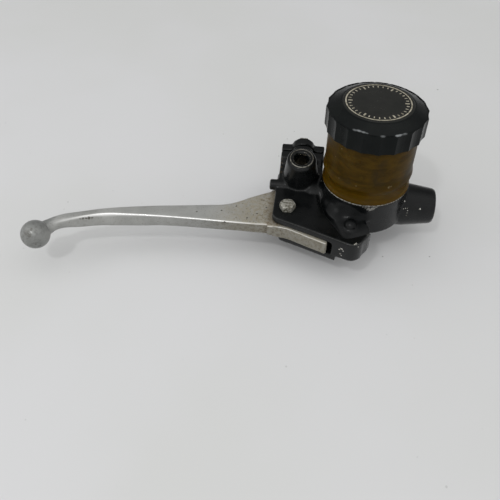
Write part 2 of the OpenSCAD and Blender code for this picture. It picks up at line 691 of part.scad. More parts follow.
module reservoir_cap() color(black_plastic) at_seat() difference() {
  intersection() {
    rotate_extrude($fn = 120) polygon([
      [0, cap_skirt_z], [cap_d / 2 - 0.8, cap_skirt_z], [cap_d / 2, cap_skirt_z + 0.8],
      [cap_d / 2, cap_top_z - cap_slope_h - 0.5], [cap_d / 2 - 0.5, cap_top_z - cap_slope_h],
      [cap_disc_r, cap_top_z], [0, cap_top_z]
    ]);
    translate([0, 0, cap_skirt_z - 1]) linear_extrude(cap_h + 2) cap_section();
  }
  translate([0, 0, cap_skirt_z - 1]) cylinder(h = 1 + cap_ceiling_z - cap_skirt_z, d = cap_bore_d);
}

// Cross-section of the cap's grip: a circle with shallow flats between narrow lands
module cap_section() difference() {
  circle(d = cap_d, $fn = 120);
  for (i = [0:cap_flats - 1]) rotate([0, 0, cap_flats_turn + (i + 0.5) * 360 / cap_flats])
    translate([cap_d / 2 + flat_r - cap_flat_depth, 0]) circle(r = flat_r, $fn = 72);
}

cylinder_body();
clamp_cap();
clamp_bolt(1);  // clamp_bolt_upper
clamp_bolt(-1);  // clamp_bolt_lower
clamp_washer(1);  // clamp_washer_upper
clamp_washer(-1);  // clamp_washer_lower
reservoir();
reservoir_seal();
retainer_plate();
retainer_screw(retainer_angles[0]);  // retainer_screw_1
retainer_screw(retainer_angles[1]);  // retainer_screw_2
retainer_screw(retainer_angles[2]);  // retainer_screw_3
diaphragm();
cap_plate();
reservoir_cap();
check_valve();
return_spring();
primary_cup();
piston();
secondary_cup();
stop_washer();
circlip();
dust_boot();
lever();
lever_bush();
pivot_bolt();
pivot_washer();
pivot_nut();
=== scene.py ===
# Front brake master cylinder with its hand lever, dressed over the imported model.
# Metres, +Z up; the origin is the middle of the handlebar clamp, +X runs to the hose outlet.
import math

import bmesh
import bpy
import numpy as np
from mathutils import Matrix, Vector
from mathutils.bvhtree import BVHTree


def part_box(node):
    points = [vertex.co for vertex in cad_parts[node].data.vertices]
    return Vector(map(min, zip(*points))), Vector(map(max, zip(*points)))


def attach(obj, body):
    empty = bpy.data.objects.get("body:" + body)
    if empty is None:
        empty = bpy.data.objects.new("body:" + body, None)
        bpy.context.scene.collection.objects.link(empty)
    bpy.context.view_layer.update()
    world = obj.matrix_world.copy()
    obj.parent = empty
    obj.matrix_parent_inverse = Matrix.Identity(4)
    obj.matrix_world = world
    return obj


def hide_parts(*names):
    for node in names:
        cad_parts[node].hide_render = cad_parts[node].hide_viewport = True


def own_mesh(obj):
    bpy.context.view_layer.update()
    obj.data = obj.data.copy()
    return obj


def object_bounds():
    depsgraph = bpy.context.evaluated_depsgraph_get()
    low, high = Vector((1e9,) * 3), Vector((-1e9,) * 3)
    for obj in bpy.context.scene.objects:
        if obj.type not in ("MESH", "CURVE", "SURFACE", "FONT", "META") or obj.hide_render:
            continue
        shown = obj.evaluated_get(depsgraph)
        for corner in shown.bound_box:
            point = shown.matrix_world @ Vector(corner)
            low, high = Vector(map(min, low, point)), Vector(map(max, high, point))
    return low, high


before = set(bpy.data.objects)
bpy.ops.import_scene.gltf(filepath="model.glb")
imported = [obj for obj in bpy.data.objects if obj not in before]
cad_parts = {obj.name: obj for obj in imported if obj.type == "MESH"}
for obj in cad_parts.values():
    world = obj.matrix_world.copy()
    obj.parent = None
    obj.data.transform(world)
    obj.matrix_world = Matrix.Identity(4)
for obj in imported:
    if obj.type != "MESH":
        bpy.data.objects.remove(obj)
cad_low, cad_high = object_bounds()


# ---------------------------------------------------------------- camera
# The photograph was taken from in front and above, at arm's length, a little left of the
# reservoir. Its place was solved from the ring on the cap and the reservoir's foot.
IMAGE_W, IMAGE_H = 500, 500
SENSOR, LENS, LEAN_DOWN, TURN_LEFT = 36.0, 42.29, 45.84, 7.30
FROM_SEAT = Vector((-0.0358, -0.3031, 0.2384))
seat_low, seat_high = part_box("reservoir")
seat = Vector(((seat_low.x + seat_high.x) / 2, (seat_low.y + seat_high.y) / 2, seat_low.z))
camera_data = bpy.data.cameras.new("camera")
camera_data.sensor_width = SENSOR
camera_data.sensor_fit = "AUTO"
camera_data.lens = LENS
camera_data.clip_start, camera_data.clip_end = 0.01, 20
camera = bpy.data.objects.new("camera", camera_data)
camera.location = seat + FROM_SEAT
camera.rotation_euler = (math.radians(90 - LEAN_DOWN), 0, math.radians(TURN_LEFT))
bpy.context.scene.collection.objects.link(camera)
bpy.context.scene.camera = camera
bpy.context.scene.view_settings.view_transform = "Standard"
bpy.context.view_layer.update()

# Places in the photograph, in its own 500 by 500 pixels
IMAGE_POINTS = {
    "ball_left": (20.3, None), "barrel_right": (436.1, None),
    "cap_top": (None, 81.6), "block_bottom": (None, 260.1),
    "ball_middle": (35.5, 234.1), "ring_middle": (379.6, 101.6),
    "cap_left": (325.9, None), "cap_right": (429.9, None), "skirt_bottom": (None, 156.2),
    "bolt_head": (287.7, 206.0), "mirror_hole": (301.5, 156.8),
    "lug_left": (282.2, None), "arch_top": (None, 138.6), "stub_left": (270.3, None),
    "pedestal_knob": (350.6, 226.6), "rim_patch": (370.9, 208.6), "block_chip": (341.1, 250.0),
    "barrel_chip": (420.1, 209.1),
}


def ray_through(x, y):
    """Direction from the camera through image point (x, y): the point's offset from the image's
    middle, in pixels, across, up and along the lens, turned from the camera's axes."""
    long_side = max(IMAGE_W, IMAGE_H)
    across = x - IMAGE_W / 2 + camera_data.shift_x * long_side
    up = IMAGE_H / 2 - y + camera_data.shift_y * long_side
    along = -long_side * camera_data.lens / camera_data.sensor_width
    return (camera.matrix_world.to_3x3() @ Vector((across, up, along))).normalized()


def image_of(places):
    """Image x, y of an array of places: each is put in the camera's axes and divided by depth."""
    places = np.asarray(places, float).reshape(-1, 3)
    matrix = np.array(camera.matrix_world.inverted())
    seen = places @ matrix[:3, :3].T + matrix[:3, 3]
    scale = max(IMAGE_W, IMAGE_H) * camera_data.lens / camera_data.sensor_width / -seen[:, 2]
    return np.stack([IMAGE_W / 2 + seen[:, 0] * scale, IMAGE_H / 2 - seen[:, 1] * scale], 1)


def place_on(carrier, x, y):
    """Place and outward direction where the ray through image point (x, y) first meets the
    carrier, a BVHTree. On a miss it is the carrier's place nearest to the ray, found from
    points a fifth of a millimetre apart along it."""
    start, direction = camera.matrix_world.translation, ray_through(x, y)
    place, facing, _, _ = carrier.ray_cast(start, direction)
    if place is None:
        near = [carrier.find_nearest(start + direction * reach)
                for reach in np.arange(0.2, 0.6, 0.0002)]
        place, facing, _, _ = min(near, key=lambda found: found[3])
    return place, facing if facing.dot(direction) < 0 else -facing


# ---------------------------------------------------------------- floor and light
# A plain pale table top that runs out of view. A small key lamp stands high at the front left,
# with a weak one low at the left and one at the front right. The room is pale overhead and dark
# behind, as the gloss of the paint in the photo shows.
def new_material(name):
    """A material with a bare Principled shader; returns the material, its nodes and the shader."""
    material = bpy.data.materials.new(name)
    material.use_nodes = True
    tree = material.node_tree
    return material, tree, tree.nodes["Principled BSDF"]


def fill(node, values):
    """Gives a node's sockets their values: each is a number, a colour or another node's output."""
    for key, value in values.items():
        if isinstance(value, bpy.types.NodeSocket):
            node.id_data.links.new(value, node.inputs[key])
        else:
            node.inputs[key].default_value = value


def add(tree, kind, inputs, **settings):
    """One node with its settings and inputs; returns its first output."""
    node = tree.nodes.new(kind)
    for key, value in settings.items():
        setattr(node, key, value)
    fill(node, inputs)
    return node.outputs[0]


def place_of(tree, centre=(0, 0, 0), scale=(1, 1, 1)):
    """Object coordinates in metres: (place - centre) * scale."""
    return add(tree, "ShaderNodeMapping", {
        "Vector": tree.nodes.new("ShaderNodeTexCoord").outputs["Object"],
        "Location": tuple(-c * s for c, s in zip(centre, scale)), "Scale": scale})


def far_from(tree, centre, scale=(1, 1, 1)):
    """Distance in metres: the length of (place - centre) * scale."""
    away = add(tree, "ShaderNodeVectorMath", {0: place_of(tree, centre, scale)}, operation="LENGTH")
    return away.node.outputs["Value"]


def split(vector):
    """The three numbers of a vector."""
    return add(vector.id_data, "ShaderNodeSeparateXYZ", {0: vector}).node.outputs


def noise(place, scale, detail=3.0, roughness=0.5, distortion=0.0):
    """Cloudy pattern of 0 to 1; scale counts its cells in a metre."""
    return add(place.id_data, "ShaderNodeTexNoise", {
        "Vector": place, "Scale": scale, "Detail": detail, "Roughness": roughness,
        "Distortion": distortion})


def ramp(factor, low, high, out_low=0.0, out_high=1.0):
    """Smooth step from out_low to out_high while the factor goes from low to high."""
    return add(factor.id_data, "ShaderNodeMapRange", {
        "Value": factor, "From Min": low, "From Max": high, "To Min": out_low, "To Max": out_high,
    }, interpolation_type="SMOOTHSTEP")


def blend_colour(factor, a, b, how="MIX"):
    """Colour a where the factor is 0 and colour b where it is 1."""
    a, b = (c if isinstance(c, bpy.types.NodeSocket) else (*c, 1.0) for c in (a, b))
    mix = add(factor.id_data, "ShaderNodeMix", {0: factor, 6: a, 7: b},
              data_type="RGBA", blend_type=how)
    return mix.node.outputs[2]


def maths(how, a, b=0.0, c=0.0):
    """One sum on two or three numbers."""
    return add(a.id_data, "ShaderNodeMath", {0: a, 1: b, 2: c}, operation=how)


def times(total, *factors):
    """Product of two or more numbers."""
    for factor in factors:
        total = maths("MULTIPLY", total, factor)
    return total


def bump(height, shader, distance, strength=1.0):
    """Small relief: the height pattern times a distance in metres."""
    relief = {"Height": height, "Distance": distance, "Strength": strength}
    fill(shader, {"Normal": add(height.id_data, "ShaderNodeBump", relief)})


def tree_of(mesh):
    """BVHTree over a mesh, for place_on."""
    shape = bmesh.new()
    shape.from_mesh(mesh)
    carrier = BVHTree.FromBMesh(shape)
    shape.free()
    return carrier


FLOOR_HALF = 2.0
floor_z = min(cad_low.z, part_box("clamp_bolt_lower")[0].z)
floor_mesh = bpy.data.meshes.new("floor")
floor_mesh.from_pydata(
    [(x * FLOOR_HALF, y * FLOOR_HALF, floor_z) for x, y in ((-1, -1), (1, -1), (1, 1), (-1, 1))],
    [], [(0, 1, 2, 3)])
floor = bpy.data.objects.new("floor", floor_mesh)
bpy.context.scene.collection.objects.link(floor)
table_top, tree, shader = new_material("table_top")
spot = place_of(tree)
cloud = ramp(noise(spot, 5.0), 0.35, 0.65)
floor_colour = blend_colour(cloud, (0.610, 0.615, 0.610), (0.634, 0.637, 0.644))
speck = ramp(noise(spot, 240.0, 1.0, 0.4), 0.80, 0.84, 0.0, 0.35)
floor_colour = blend_colour(speck, floor_colour, (0.30, 0.30, 0.29))
table_tree = tree_of(floor_mesh)
for x, y, size in [(437.6, 89.6, 0.9), (287.3, 138.9, 0.5), (294.2, 131.3, 0.5),
                   (278.8, 156.0, 0.5), (382.6, 256.6, 0.6), (429.5, 256.6, 0.6),
                   (68.0, 202.0, 0.5)]:
    place, _ = place_on(table_tree, x, y)
    mark = ramp(far_from(tree, place), size * 0.0012, size * 0.0005, 0.0, 0.6)
    floor_colour = blend_colour(mark, floor_colour, (0.12, 0.12, 0.11))
fill(shader, {"Base Color": floor_colour, "Roughness": 0.55})
floor_mesh.materials.append(table_top)


def lamp(name, place, size, power, aim):
    """Square soft lamp at a place, facing the aim."""
    data = bpy.data.lights.new(name, "AREA")
    data.size = size
    data.energy = power
    lamp_object = bpy.data.objects.new(name, data)
    lamp_object.location = place
    lamp_object.rotation_euler = (Vector(aim) - Vector(place)).to_track_quat("-Z", "Y").to_euler()
    bpy.context.scene.collection.objects.link(lamp_object)


lamp("key_lamp", (-0.35, -0.84, 1.22), 0.10, 3.0, (0.0, -0.03, 0.0))
lamp("side_lamp", (-0.75, -0.25, 0.45), 0.25, 0.35, (0.0, 0.0, 0.02))
lamp("fill_lamp", (0.25, -1.1, 1.0), 0.5, 0.7, (0.04, -0.03, 0.02))

world = bpy.data.worlds.new("room")
bpy.context.scene.world = world
world.use_nodes = True
room = world.node_tree
sides = split(room.nodes.new("ShaderNodeTexCoord").outputs["Generated"])
overhead = blend_colour(ramp(sides[2], 0.0, 0.9), (0.60, 0.60, 0.595), (1.12, 1.12, 1.115))
room_light = blend_colour(ramp(sides[1], -0.1, 0.7), overhead, (0.26, 0.26, 0.26))
fill(room.nodes["Background"], {"Color": room_light, "Strength": 1.12})


# ---------------------------------------------------------------- casting
# The body is one aluminium casting: fork, pedestal, barrel, clamp half and mirror boss. It is
# painted gloss black, and its edges are round because it was cast; paint is chipped in places.
def finish_mesh(name, mesh, material, sharp=40.0):
    """Object at the origin with one material, smooth but for edges over an angle."""
    mesh.materials.clear()
    mesh.materials.append(material)
    mesh.shade_smooth()
    mesh.set_sharp_from_angle(angle=math.radians(sharp))
    thing = bpy.data.objects.new(name, mesh)
    bpy.context.scene.collection.objects.link(thing)
    return thing


def joined(name, *meshes, merge=0.0):
    """One mesh of several; points closer together than `merge` metres become one."""
    shape = bmesh.new()
    for mesh in meshes:
        shape.from_mesh(mesh)
    if merge:
        bmesh.ops.remove_doubles(shape, verts=shape.verts, dist=merge)
    whole = bpy.data.meshes.new(name)
    shape.to_mesh(whole)
    shape.free()
    return whole


CAST_CELL, CAST_PASSES = 0.0006, 7


def cast_surface(node, *fillers):
    """The solid's surface, joined to closed fillers, rebuilt in cells of one size, then relaxed:
    each pass moves a point half the way to the mean of its neighbours, which rounds every edge
    over a few cells."""
    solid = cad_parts[node].data
    rough = bpy.data.objects.new("rough", joined("rough_" + node, solid, *fillers, merge=1e-7))
    bpy.context.scene.collection.objects.link(rough)
    remesh = rough.modifiers.new("cells", "REMESH")
    remesh.mode = "VOXEL"
    remesh.voxel_size = CAST_CELL
    relax = rough.modifiers.new("relax", "SMOOTH")
    relax.factor = 0.5
    relax.iterations = CAST_PASSES
    bpy.context.view_layer.update()
    mesh = bpy.data.meshes.new_from_object(
        rough.evaluated_get(bpy.context.evaluated_depsgraph_get()))
    bpy.data.objects.remove(rough)
    return mesh


MIRROR_TILT = math.radians(14.0)
MIRROR_TOP, MIRROR_FORWARD = 35.3, 18.4


def in_clamp(points):
    """Points given in mm along the bar, behind and above it in the clamp's own lean, turned
    about the bar's axis into the part's frame in metres."""
    x, back, up = points[..., 0], points[..., 1], points[..., 2]
    cos, sin = math.cos(MIRROR_TILT), math.sin(MIRROR_TILT)
    return np.stack([x, back * cos - up * sin, back * sin + up * cos], -1) * 0.001


def array_of(items, attribute, width=3, kind=float):
    """One attribute of a mesh's vertices or edges as an array [item, number]."""
    values = np.empty(len(items) * width, kind)
    items.foreach_get(attribute, values)
    return values.reshape(-1, width)


def mean_around(values, pairs):
    """Mean of each point's neighbours; pairs [edge, end] tells which points are neighbours."""
    a, b, count = pairs[:, 0], pairs[:, 1], len(values)
    degree = np.maximum(np.bincount(pairs.ravel(), minlength=count), 1)
    return np.stack([(np.bincount(a, column[b], count) + np.bincount(b, column[a], count)) / degree
                     for column in values.T], 1)


def relax_foot(mesh, ring_r, ring_z, passes):
    """Relaxes the surface along the front half of the pedestal's foot, a ring of one radius and
    height in mm: each pass moves a point a share of the way to the mean of its neighbours, the
    share being half of one less the square of its distance from the ring over 5 mm."""
    places = array_of(mesh.vertices, "co")
    pairs = array_of(mesh.edges, "vertices", 2, int)
    rel = (places - np.asarray(seat)) * 1000
    off = np.hypot(np.hypot(rel[:, 0], rel[:, 1]) - ring_r, rel[:, 2] - ring_z) / 5
    off[rel[:, 1] > 0] = 2
    pairs = pairs[(off[pairs] < 1).any(1)]
    near, pairs = np.unique(pairs, return_inverse=True)
    pairs = pairs.reshape(-1, 2)
    local, share = places[near], np.clip(0.5 * (1 - off[near] ** 2), 0, None)[:, None]
    for _ in range(passes):
        local = local + share * (mean_around(local, pairs) - local)
    places[near] = local
    mesh.vertices.foreach_set("co", places.ravel())
    mesh.update()


def edge_of(mesh, rounds=2):
    """Stores on each vertex how far it stands out: the distance from the mean of its
    neighbours along its normal, in cells, averaged over the neighbours some rounds."""
    pairs = array_of(mesh.edges, "vertices", 2, int)
    places, normals = (array_of(mesh.vertices, name) for name in ("co", "normal"))
    stand = ((places - mean_around(places, pairs)) * normals).sum(1, keepdims=True) / CAST_CELL
    for _ in range(rounds):
        stand = (stand + mean_around(stand, pairs)) / 2
    mesh.attributes.new("edge", "FLOAT", "POINT").data.foreach_set("value", stand.ravel())


def skin(name, points, close_rows=False, close_columns=True, lids=False):
    """Mesh over a grid of points [row, column, xyz]: each cell is one face. Doubled points are
    merged, so that a row drawn together at a pole closes the surface, and faces point outwards.
    Lids close an open first and last row."""
    rows, columns = points.shape[:2]
    index = np.arange(rows * columns).reshape(rows, columns)
    corners = [np.roll(index, shift, (0, 1)) for shift in ((0, 0), (0, -1), (-1, -1), (-1, 0))]
    faces = np.stack(corners, -1)[:None if close_rows else -1, :None if close_columns else -1]
    mesh = bpy.data.meshes.new(name)
    mesh.from_pydata(points.reshape(-1, 3).tolist(), [], faces.reshape(-1, 4).tolist())
    shape = bmesh.new()
    shape.from_mesh(mesh)
    bmesh.ops.remove_doubles(shape, verts=shape.verts, dist=2e-7)
    bmesh.ops.dissolve_degenerate(shape, edges=shape.edges, dist=1e-8)
    if lids:
        bmesh.ops.holes_fill(shape, edges=shape.edges, sides=0)
        bmesh.ops.triangulate(shape, faces=[f for f in shape.faces if len(f.verts) > 4])
    bmesh.ops.recalc_face_normals(shape, faces=shape.faces)
    shape.to_mesh(mesh)
    shape.free()
    return mesh


def full_turn(count):
    """Angles all round in equal steps."""
    return np.linspace(0, 2 * math.pi, count, endpoint=False)


def polar(radius, turn, up):
    """Points at a radius, an angle and a height."""
    return np.stack(np.broadcast_arrays(radius * np.cos(turn), radius * np.sin(turn), up), -1)


def drawn_in(rows):
    """Rows of a grid with the points of each drawn together to its middle, to close an end."""
    return rows.mean(1, keepdims=True) * np.ones((1, rows.shape[1], 1))


# Three fillers, in mm, add the soft runs that the solid has not: a flare at the mirror boss's
# foot, a hood that runs down from the barrel to the boss, and a fillet along the pedestal's foot
# at its front left.
BOSS_FOOT_R, BOSS_FOOT_U, FLARE_R = 12.6, 12.1, 6.5
sweep = np.linspace(0, math.pi / 2, 9)
flare = np.concatenate([
    [(0.0, BOSS_FOOT_U - 3.0), (BOSS_FOOT_R + FLARE_R - 1.2, BOSS_FOOT_U - 3.0)],
    np.stack([BOSS_FOOT_R - 0.9 + FLARE_R * (1 - np.sin(sweep)),
              BOSS_FOOT_U - 0.6 + FLARE_R * (1 - np.cos(sweep))], 1),
    [(0.0, BOSS_FOOT_U - 0.6 + FLARE_R)],
])
around = full_turn(72)
flare_grid = np.stack([
    np.clip(flare[:, :1] * np.cos(around), -14.2, 17.5),
    np.minimum(flare[:, :1] * np.sin(around), 6.0) - MIRROR_FORWARD,
    flare[:, 1:] * np.ones(72)], -1)
HOOD_R, AXIS_DROP, HOOD_ARC, HOOD_END_Y, HOOD_END_Z = 12.75, 18.8, (42, 138), 3.0, -10.3
hood_x = np.array([-27.0, -35.0, -39.0, -42.0, -44.0])[:, None]
hood_share = np.array([1.0, 1.0, 0.85, 0.55, 0.0])[:, None]
over = np.radians(np.linspace(*HOOD_ARC, 40))
hood = np.stack([
    hood_x * np.ones(40),
    HOOD_END_Y + (HOOD_R * np.cos(over) - HOOD_END_Y) * hood_share,
    HOOD_END_Z + (HOOD_R * np.sin(over) - AXIS_DROP - HOOD_END_Z) * hood_share], -1)
hood = np.concatenate([drawn_in(hood[:1]), hood])
FOOT_R, FOOT_Z, FOOT_ARC = 26.0, -12.0, (208, 280)
FOOT_FILLET = np.array([(26.0, -14.0), (35.2, -13.0), (34.6, -11.2), (31.6, -9.0), (29.4, -6.6),
                        (28.1, -4.2), (27.5, -2.4), (26.0, -2.4)])
foot_turn = np.radians(np.linspace(*FOOT_ARC, 48))
foot_share = np.sin(np.linspace(0, math.pi, 48)) ** 0.6
foot = polar(FOOT_R + (FOOT_FILLET[:, :1] - FOOT_R) * foot_share, foot_turn,
             FOOT_Z + (FOOT_FILLET[:, 1:] - FOOT_Z) * foot_share)
casting_mesh = cast_surface(
    "cylinder_body", skin("flare", in_clamp(flare_grid)),
    skin("hood", hood * 0.001 + np.asarray(seat)),
    skin("foot", foot * 0.001 + np.asarray(seat), close_rows=True, close_columns=False))
relax_foot(casting_mesh, ring_r=28.0, ring_z=-8.0, passes=30)
edge_of(casting_mesh)
casting_tree = tree_of(casting_mesh)

# The paint: gloss black with a soft haze. It has worn to bare metal in spots on the edges and
# along the pedestal's rim, and chipped in the places that the photograph shows.
CHIPS = {
    "rim_patch": [(362.9, 206.9, 0.6), (365.6, 207.9, 1.0), (368.3, 208.9, 1.5),
                  (370.0, 210.2, 1.1), (372.0, 209.0, 1.3), (373.6, 208.6, 1.2),
                  (376.2, 207.3, 0.9)],
    "block_chip": [(339.3, 249.4, 0.6), (340.8, 248.5, 0.75), (342.3, 249.6, 0.7),
                   (343.0, 251.2, 0.6), (340.3, 253.9, 0.5), (341.2, 255.6, 0.45)],
    "barrel_chip": [(420.1, 209.1, 0.8)],
    "bracket_scratch": [(403.5, 208.8, 0.35), (405.3, 208.3, 0.4), (407.2, 208.4, 0.4),
                        (407.6, 210.6, 0.35), (407.0, 213.0, 0.35), (406.4, 215.4, 0.35),
                        (404.6, 201.2, 0.6)],
    # The corner_glints are painted highlights: spots of bare-metal colour where corners shine.
    "corner_glints": [(356.2, 243.7, 0.7), (354.6, 244.4, 0.55), (358.2, 246.8, 0.5),
                      (318.7, 174.3, 0.5), (321.0, 181.0, 0.45)],
}
BOSS_STAINS = [(282.2, 159.0, 0.8), (281.8, 162.5, 1.0), (281.4, 167.0, 1.2), (281.2, 172.0, 1.2)]


def chip(tree, carrier, x, y, size, ragged, spread, base):
    """Spot of a size in mm at an image point, above 0 inside its ragged edge: base + spread
    times the ragged pattern, less the distance over the size."""
    place, _ = place_on(carrier, x, y)
    return maths("MULTIPLY_ADD", far_from(tree, place), -1000.0 / size,
                 maths("MULTIPLY_ADD", ragged, spread, base))


gloss_black, tree, shader = new_material("gloss_black_paint")
spot = place_of(tree)
wear = noise(spot, 900.0, 4.0, 0.6)
haze = noise(spot, 90.0, 4.0, 0.55)
dust = ramp(noise(spot, 2400.0, 2.0), 0.70, 0.80)
edge = tree.nodes.new("ShaderNodeAttribute")
edge.attribute_name = "edge"
stand = edge.outputs["Fac"]
black = blend_colour(ramp(haze, 0.3, 0.7), (0.0022, 0.0028, 0.0030), (0.0050, 0.0056, 0.0058))
black = blend_colour(times(dust, 0.2), black, (0.04, 0.04, 0.036))
boss_place = in_clamp(np.array([0, -MIRROR_FORWARD, MIRROR_TOP]))
off_boss = ramp(far_from(tree, boss_place), 0.009, 0.011)
# Convex edges are painted paler: partly worn paint, partly a painted highlight along them.
edge_wear_and_sheen = times(ramp(stand, 0.07, 0.15), ramp(wear, 0.30, 0.60, 0.25, 1.0))
black = blend_colour(times(edge_wear_and_sheen, off_boss, 0.8), black, (0.105, 0.106, 0.10))
at_rim = times(ramp(split(place_of(tree, seat))[2], -0.00065, -0.00040),
               ramp(far_from(tree, seat, (1, 1, 0)), 0.0295, 0.0290))
on_edge = times(at_rim, ramp(stand, 0.02, 0.08))
bare = times(on_edge, ramp(wear, 0.30, 0.50, 0.15, 0.9))
ragged = noise(spot, 1300.0, 4.0, 0.75)
# Each spot is painted bare metal; for the corner_glints this is a painted highlight.
for group, spots in CHIPS.items():
    brightest = 0.42 if group == "rim_patch" else 1.0
    for x, y, size in spots:
        reach = chip(tree, casting_tree, x, y, size, ragged, 2.6, -0.55)
        bare = maths("MAXIMUM", bare, ramp(reach, -0.05, 0.10, 0.0, brightest))
for x, y, size in BOSS_STAINS:
    reach = chip(tree, casting_tree, x, y, size, ragged, 2.6, -0.55)
    black = blend_colour(ramp(reach, -0.05, 0.3, 0.0, 0.8), black, (0.045, 0.033, 0.020))
metal = blend_colour(ramp(wear, 0.4, 0.6), (0.16, 0.15, 0.12), (0.46, 0.45, 0.42))
# Gloss has lasted on the upright sides; the tops are weathered, the pedestal's foot is grimy.
facing_up = split(tree.nodes.new("ShaderNodeTexCoord").outputs["Normal"])[2]
gloss = ramp(facing_up, 0.15, 0.75, 0.32, 0.18)
for x, y, size in [(346.5, 214.0, 11.0), (360.0, 221.0, 10.0)]:
    far = far_from(tree, place_on(casting_tree, x, y)[0])
    gloss = times(gloss, ramp(far, size * 0.0004, size * 0.001, 0.5, 1.0))
fill(shader, {
    "Base Color": blend_colour(bare, black, metal), "IOR": 1.5, "Specular IOR Level": gloss,
    "Roughness": ramp(haze, 0.3, 0.75, 0.20, 0.34)})
bump(maths("ADD", haze, times(wear, 0.12)), shader, 0.0002, 0.4)

casting = finish_mesh("casting", casting_mesh, gloss_black, 80)
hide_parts("cylinder_body")
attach(casting, "housing")

clamp_half = finish_mesh("clamp_half", cast_surface("clamp_cap"), gloss_black, 80)
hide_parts("clamp_cap")
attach(clamp_half, "housing")


# ---------------------------------------------------------------- reservoir
# A pot blow-moulded in amber nylon, screwed down on its pedestal. Years of brake fluid have
# stained it brown; one moulded rib runs round it near its foot.
def rounded(corners, radius, steps=5):
    """Profile through the corners [across, up] in mm with each inner corner replaced by an arc
    that starts and ends at most `radius` from it; the arc is a quadratic curve on three points."""
    corners = np.asarray(corners, float)
    t = np.linspace(0, 1, steps)[:, None]
    path = [corners[:1]]
    for before, corner, after in zip(corners[:-2], corners[1:-1], corners[2:]):
        start, end = (corner + way / np.linalg.norm(way) * min(radius, np.linalg.norm(way) * 0.45)
                      for way in (before - corner, after - corner))
        path.append((1 - t) ** 2 * start + 2 * t * (1 - t) * corner + t**2 * end)
    path.append(corners[-1:])
    return np.concatenate(path)


def turned(profile, centre, columns=160):
    """Grid of a turned part: the profile [radius, height] in mm carried round a vertical axis."""
    return polar(profile[:, :1], full_turn(columns), profile[:, 1:]) * 0.001 + np.asarray(centre)


RES_R, RES_INNER_R, RES_RIM, CAP_SKIRT = 27.0, 24.8, 48.8, 39.5
res_profile = rounded([
    (11.0, 3.0), (11.0, 0.0), (27.5, 0.0), (27.5, 1.7), (26.6, 3.0), (26.45, 5.0), (26.5, 7.4),
    (27.35, 9.2), (27.85, 10.9), (27.6, 13.0), (RES_R, 15.5), (RES_R, CAP_SKIRT - 1.5),
    (26.45, CAP_SKIRT - 0.9), (26.4, RES_RIM), (RES_INNER_R, RES_RIM), (RES_INNER_R, 3.0),
    (11.0, 3.0),
], 0.9)
amber, tree, shader = new_material("stained_amber")
spot = place_of(tree, seat)
streaks = noise(place_of(tree, seat, (1, 1, 3.2)), 70.0, 5.0, 0.6, 0.8)
clouds = noise(spot, 34.0, 4.0, 0.6, 0.4)
fine = noise(spot, 420.0, 3.0, 0.6)
tint = blend_colour(ramp(streaks, 0.34, 0.66), (0.031, 0.0175, 0.0018), (0.057, 0.0312, 0.0028))
tint = blend_colour(ramp(clouds, 0.50, 0.66, 0.0, 0.75), tint, (0.021, 0.0155, 0.0075))
tint = blend_colour(ramp(fine, 0.55, 0.75, 0.0, 0.35), tint, (0.030, 0.018, 0.004))
low_band = ramp(split(spot)[2], 0.016, 0.007, 0.0, 0.5)
tint = blend_colour(low_band, tint, (0.072, 0.037, 0.0012))
pot_tree = tree_of(skin("pot_skin", turned(res_profile, seat, 96), True))
ragged = noise(spot, 1100.0, 4.0, 0.7)
for x, y, size in [(341.8, 149.0, 0.7), (335.7, 156.5, 0.5), (339.0, 178.0, 0.6),
                   (356.0, 186.0, 0.5), (388.6, 187.3, 1.0), (391.0, 186.6, 0.6)]:
    reach = chip(tree, pot_tree, x, y, size, ragged, 2.4, -0.45)
    tint = blend_colour(ramp(reach, -0.1, 0.3, 0.0, 0.6), tint, (0.16, 0.13, 0.075))
fill(shader, {
    "Base Color": tint, "Roughness": ramp(clouds, 0.3, 0.7, 0.26, 0.42),
    "Specular IOR Level": 0.06, "Subsurface Weight": 0.25,
    "Subsurface Radius": (1.0, 0.45, 0.08), "Subsurface Scale": 0.002})
bump(maths("ADD", streaks, times(fine, 0.15)), shader, 0.00028, 0.4)
pot_mesh = skin("reservoir_pot", turned(res_profile, seat, 192), True)
pot = finish_mesh("reservoir_pot", pot_mesh, amber, 50)
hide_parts("reservoir")
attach(pot, "housing")


# ---------------------------------------------------------------- mirror seat
# The boss for the mirror is faced off and tapped after painting, so a ring round its hole is
# bare: a bright worn bead outside, a dull face inside it, and the thread going down.
HOLE_R, HOLE_END, THREAD_PITCH, THREAD_DEPTH = 4.95, -13.6, 1.25, 0.55
seat_profile = np.array([
    (8.0, -0.30), (7.50, -0.02), (7.42, 0.16), (7.25, 0.24), (7.02, 0.20), (6.90, 0.02),
    (6.70, -0.10), (6.0, -0.12), (5.45, -0.16), (5.15, -0.34), (HOLE_R, -0.70),
])
turn = full_turn(96)
down = np.linspace(-0.72, HOLE_END, 190)[:, None]
# The thread stands in from the hole's wall by its depth, which grows over the first 0.8 mm.
phase = (down / THREAD_PITCH + turn / (2 * math.pi)) % 1.0
thread = np.clip(2 * np.abs(phase - 0.5) * 1.4 - 0.2, 0, 1) * np.clip((-down - 0.7) / 0.8, 0, 1)
radius = np.concatenate([seat_profile[:, :1] * np.ones(96), HOLE_R - THREAD_DEPTH * thread,
                         np.zeros((1, 96))])
level = np.concatenate([seat_profile[:, 1:], down, down[-1:]])
seat_grid = polar(radius, turn, level + MIRROR_TOP) - np.array([0, MIRROR_FORWARD, 0])
bare_seat, tree, shader = new_material("bare_mirror_seat")
spot = place_of(tree)
from_hole = split(add(tree, "ShaderNodeMapping", {
    "Vector": spot, "Location": tuple(boss_place), "Rotation": (MIRROR_TILT, 0, 0),
}, vector_type="TEXTURE"))
flat_reach = maths("SQRT", maths("ADD", maths("POWER", from_hole[0], 2.0),
                                 maths("POWER", from_hole[1], 2.0)))
mottle = noise(spot, 900.0, 4.0, 0.65)
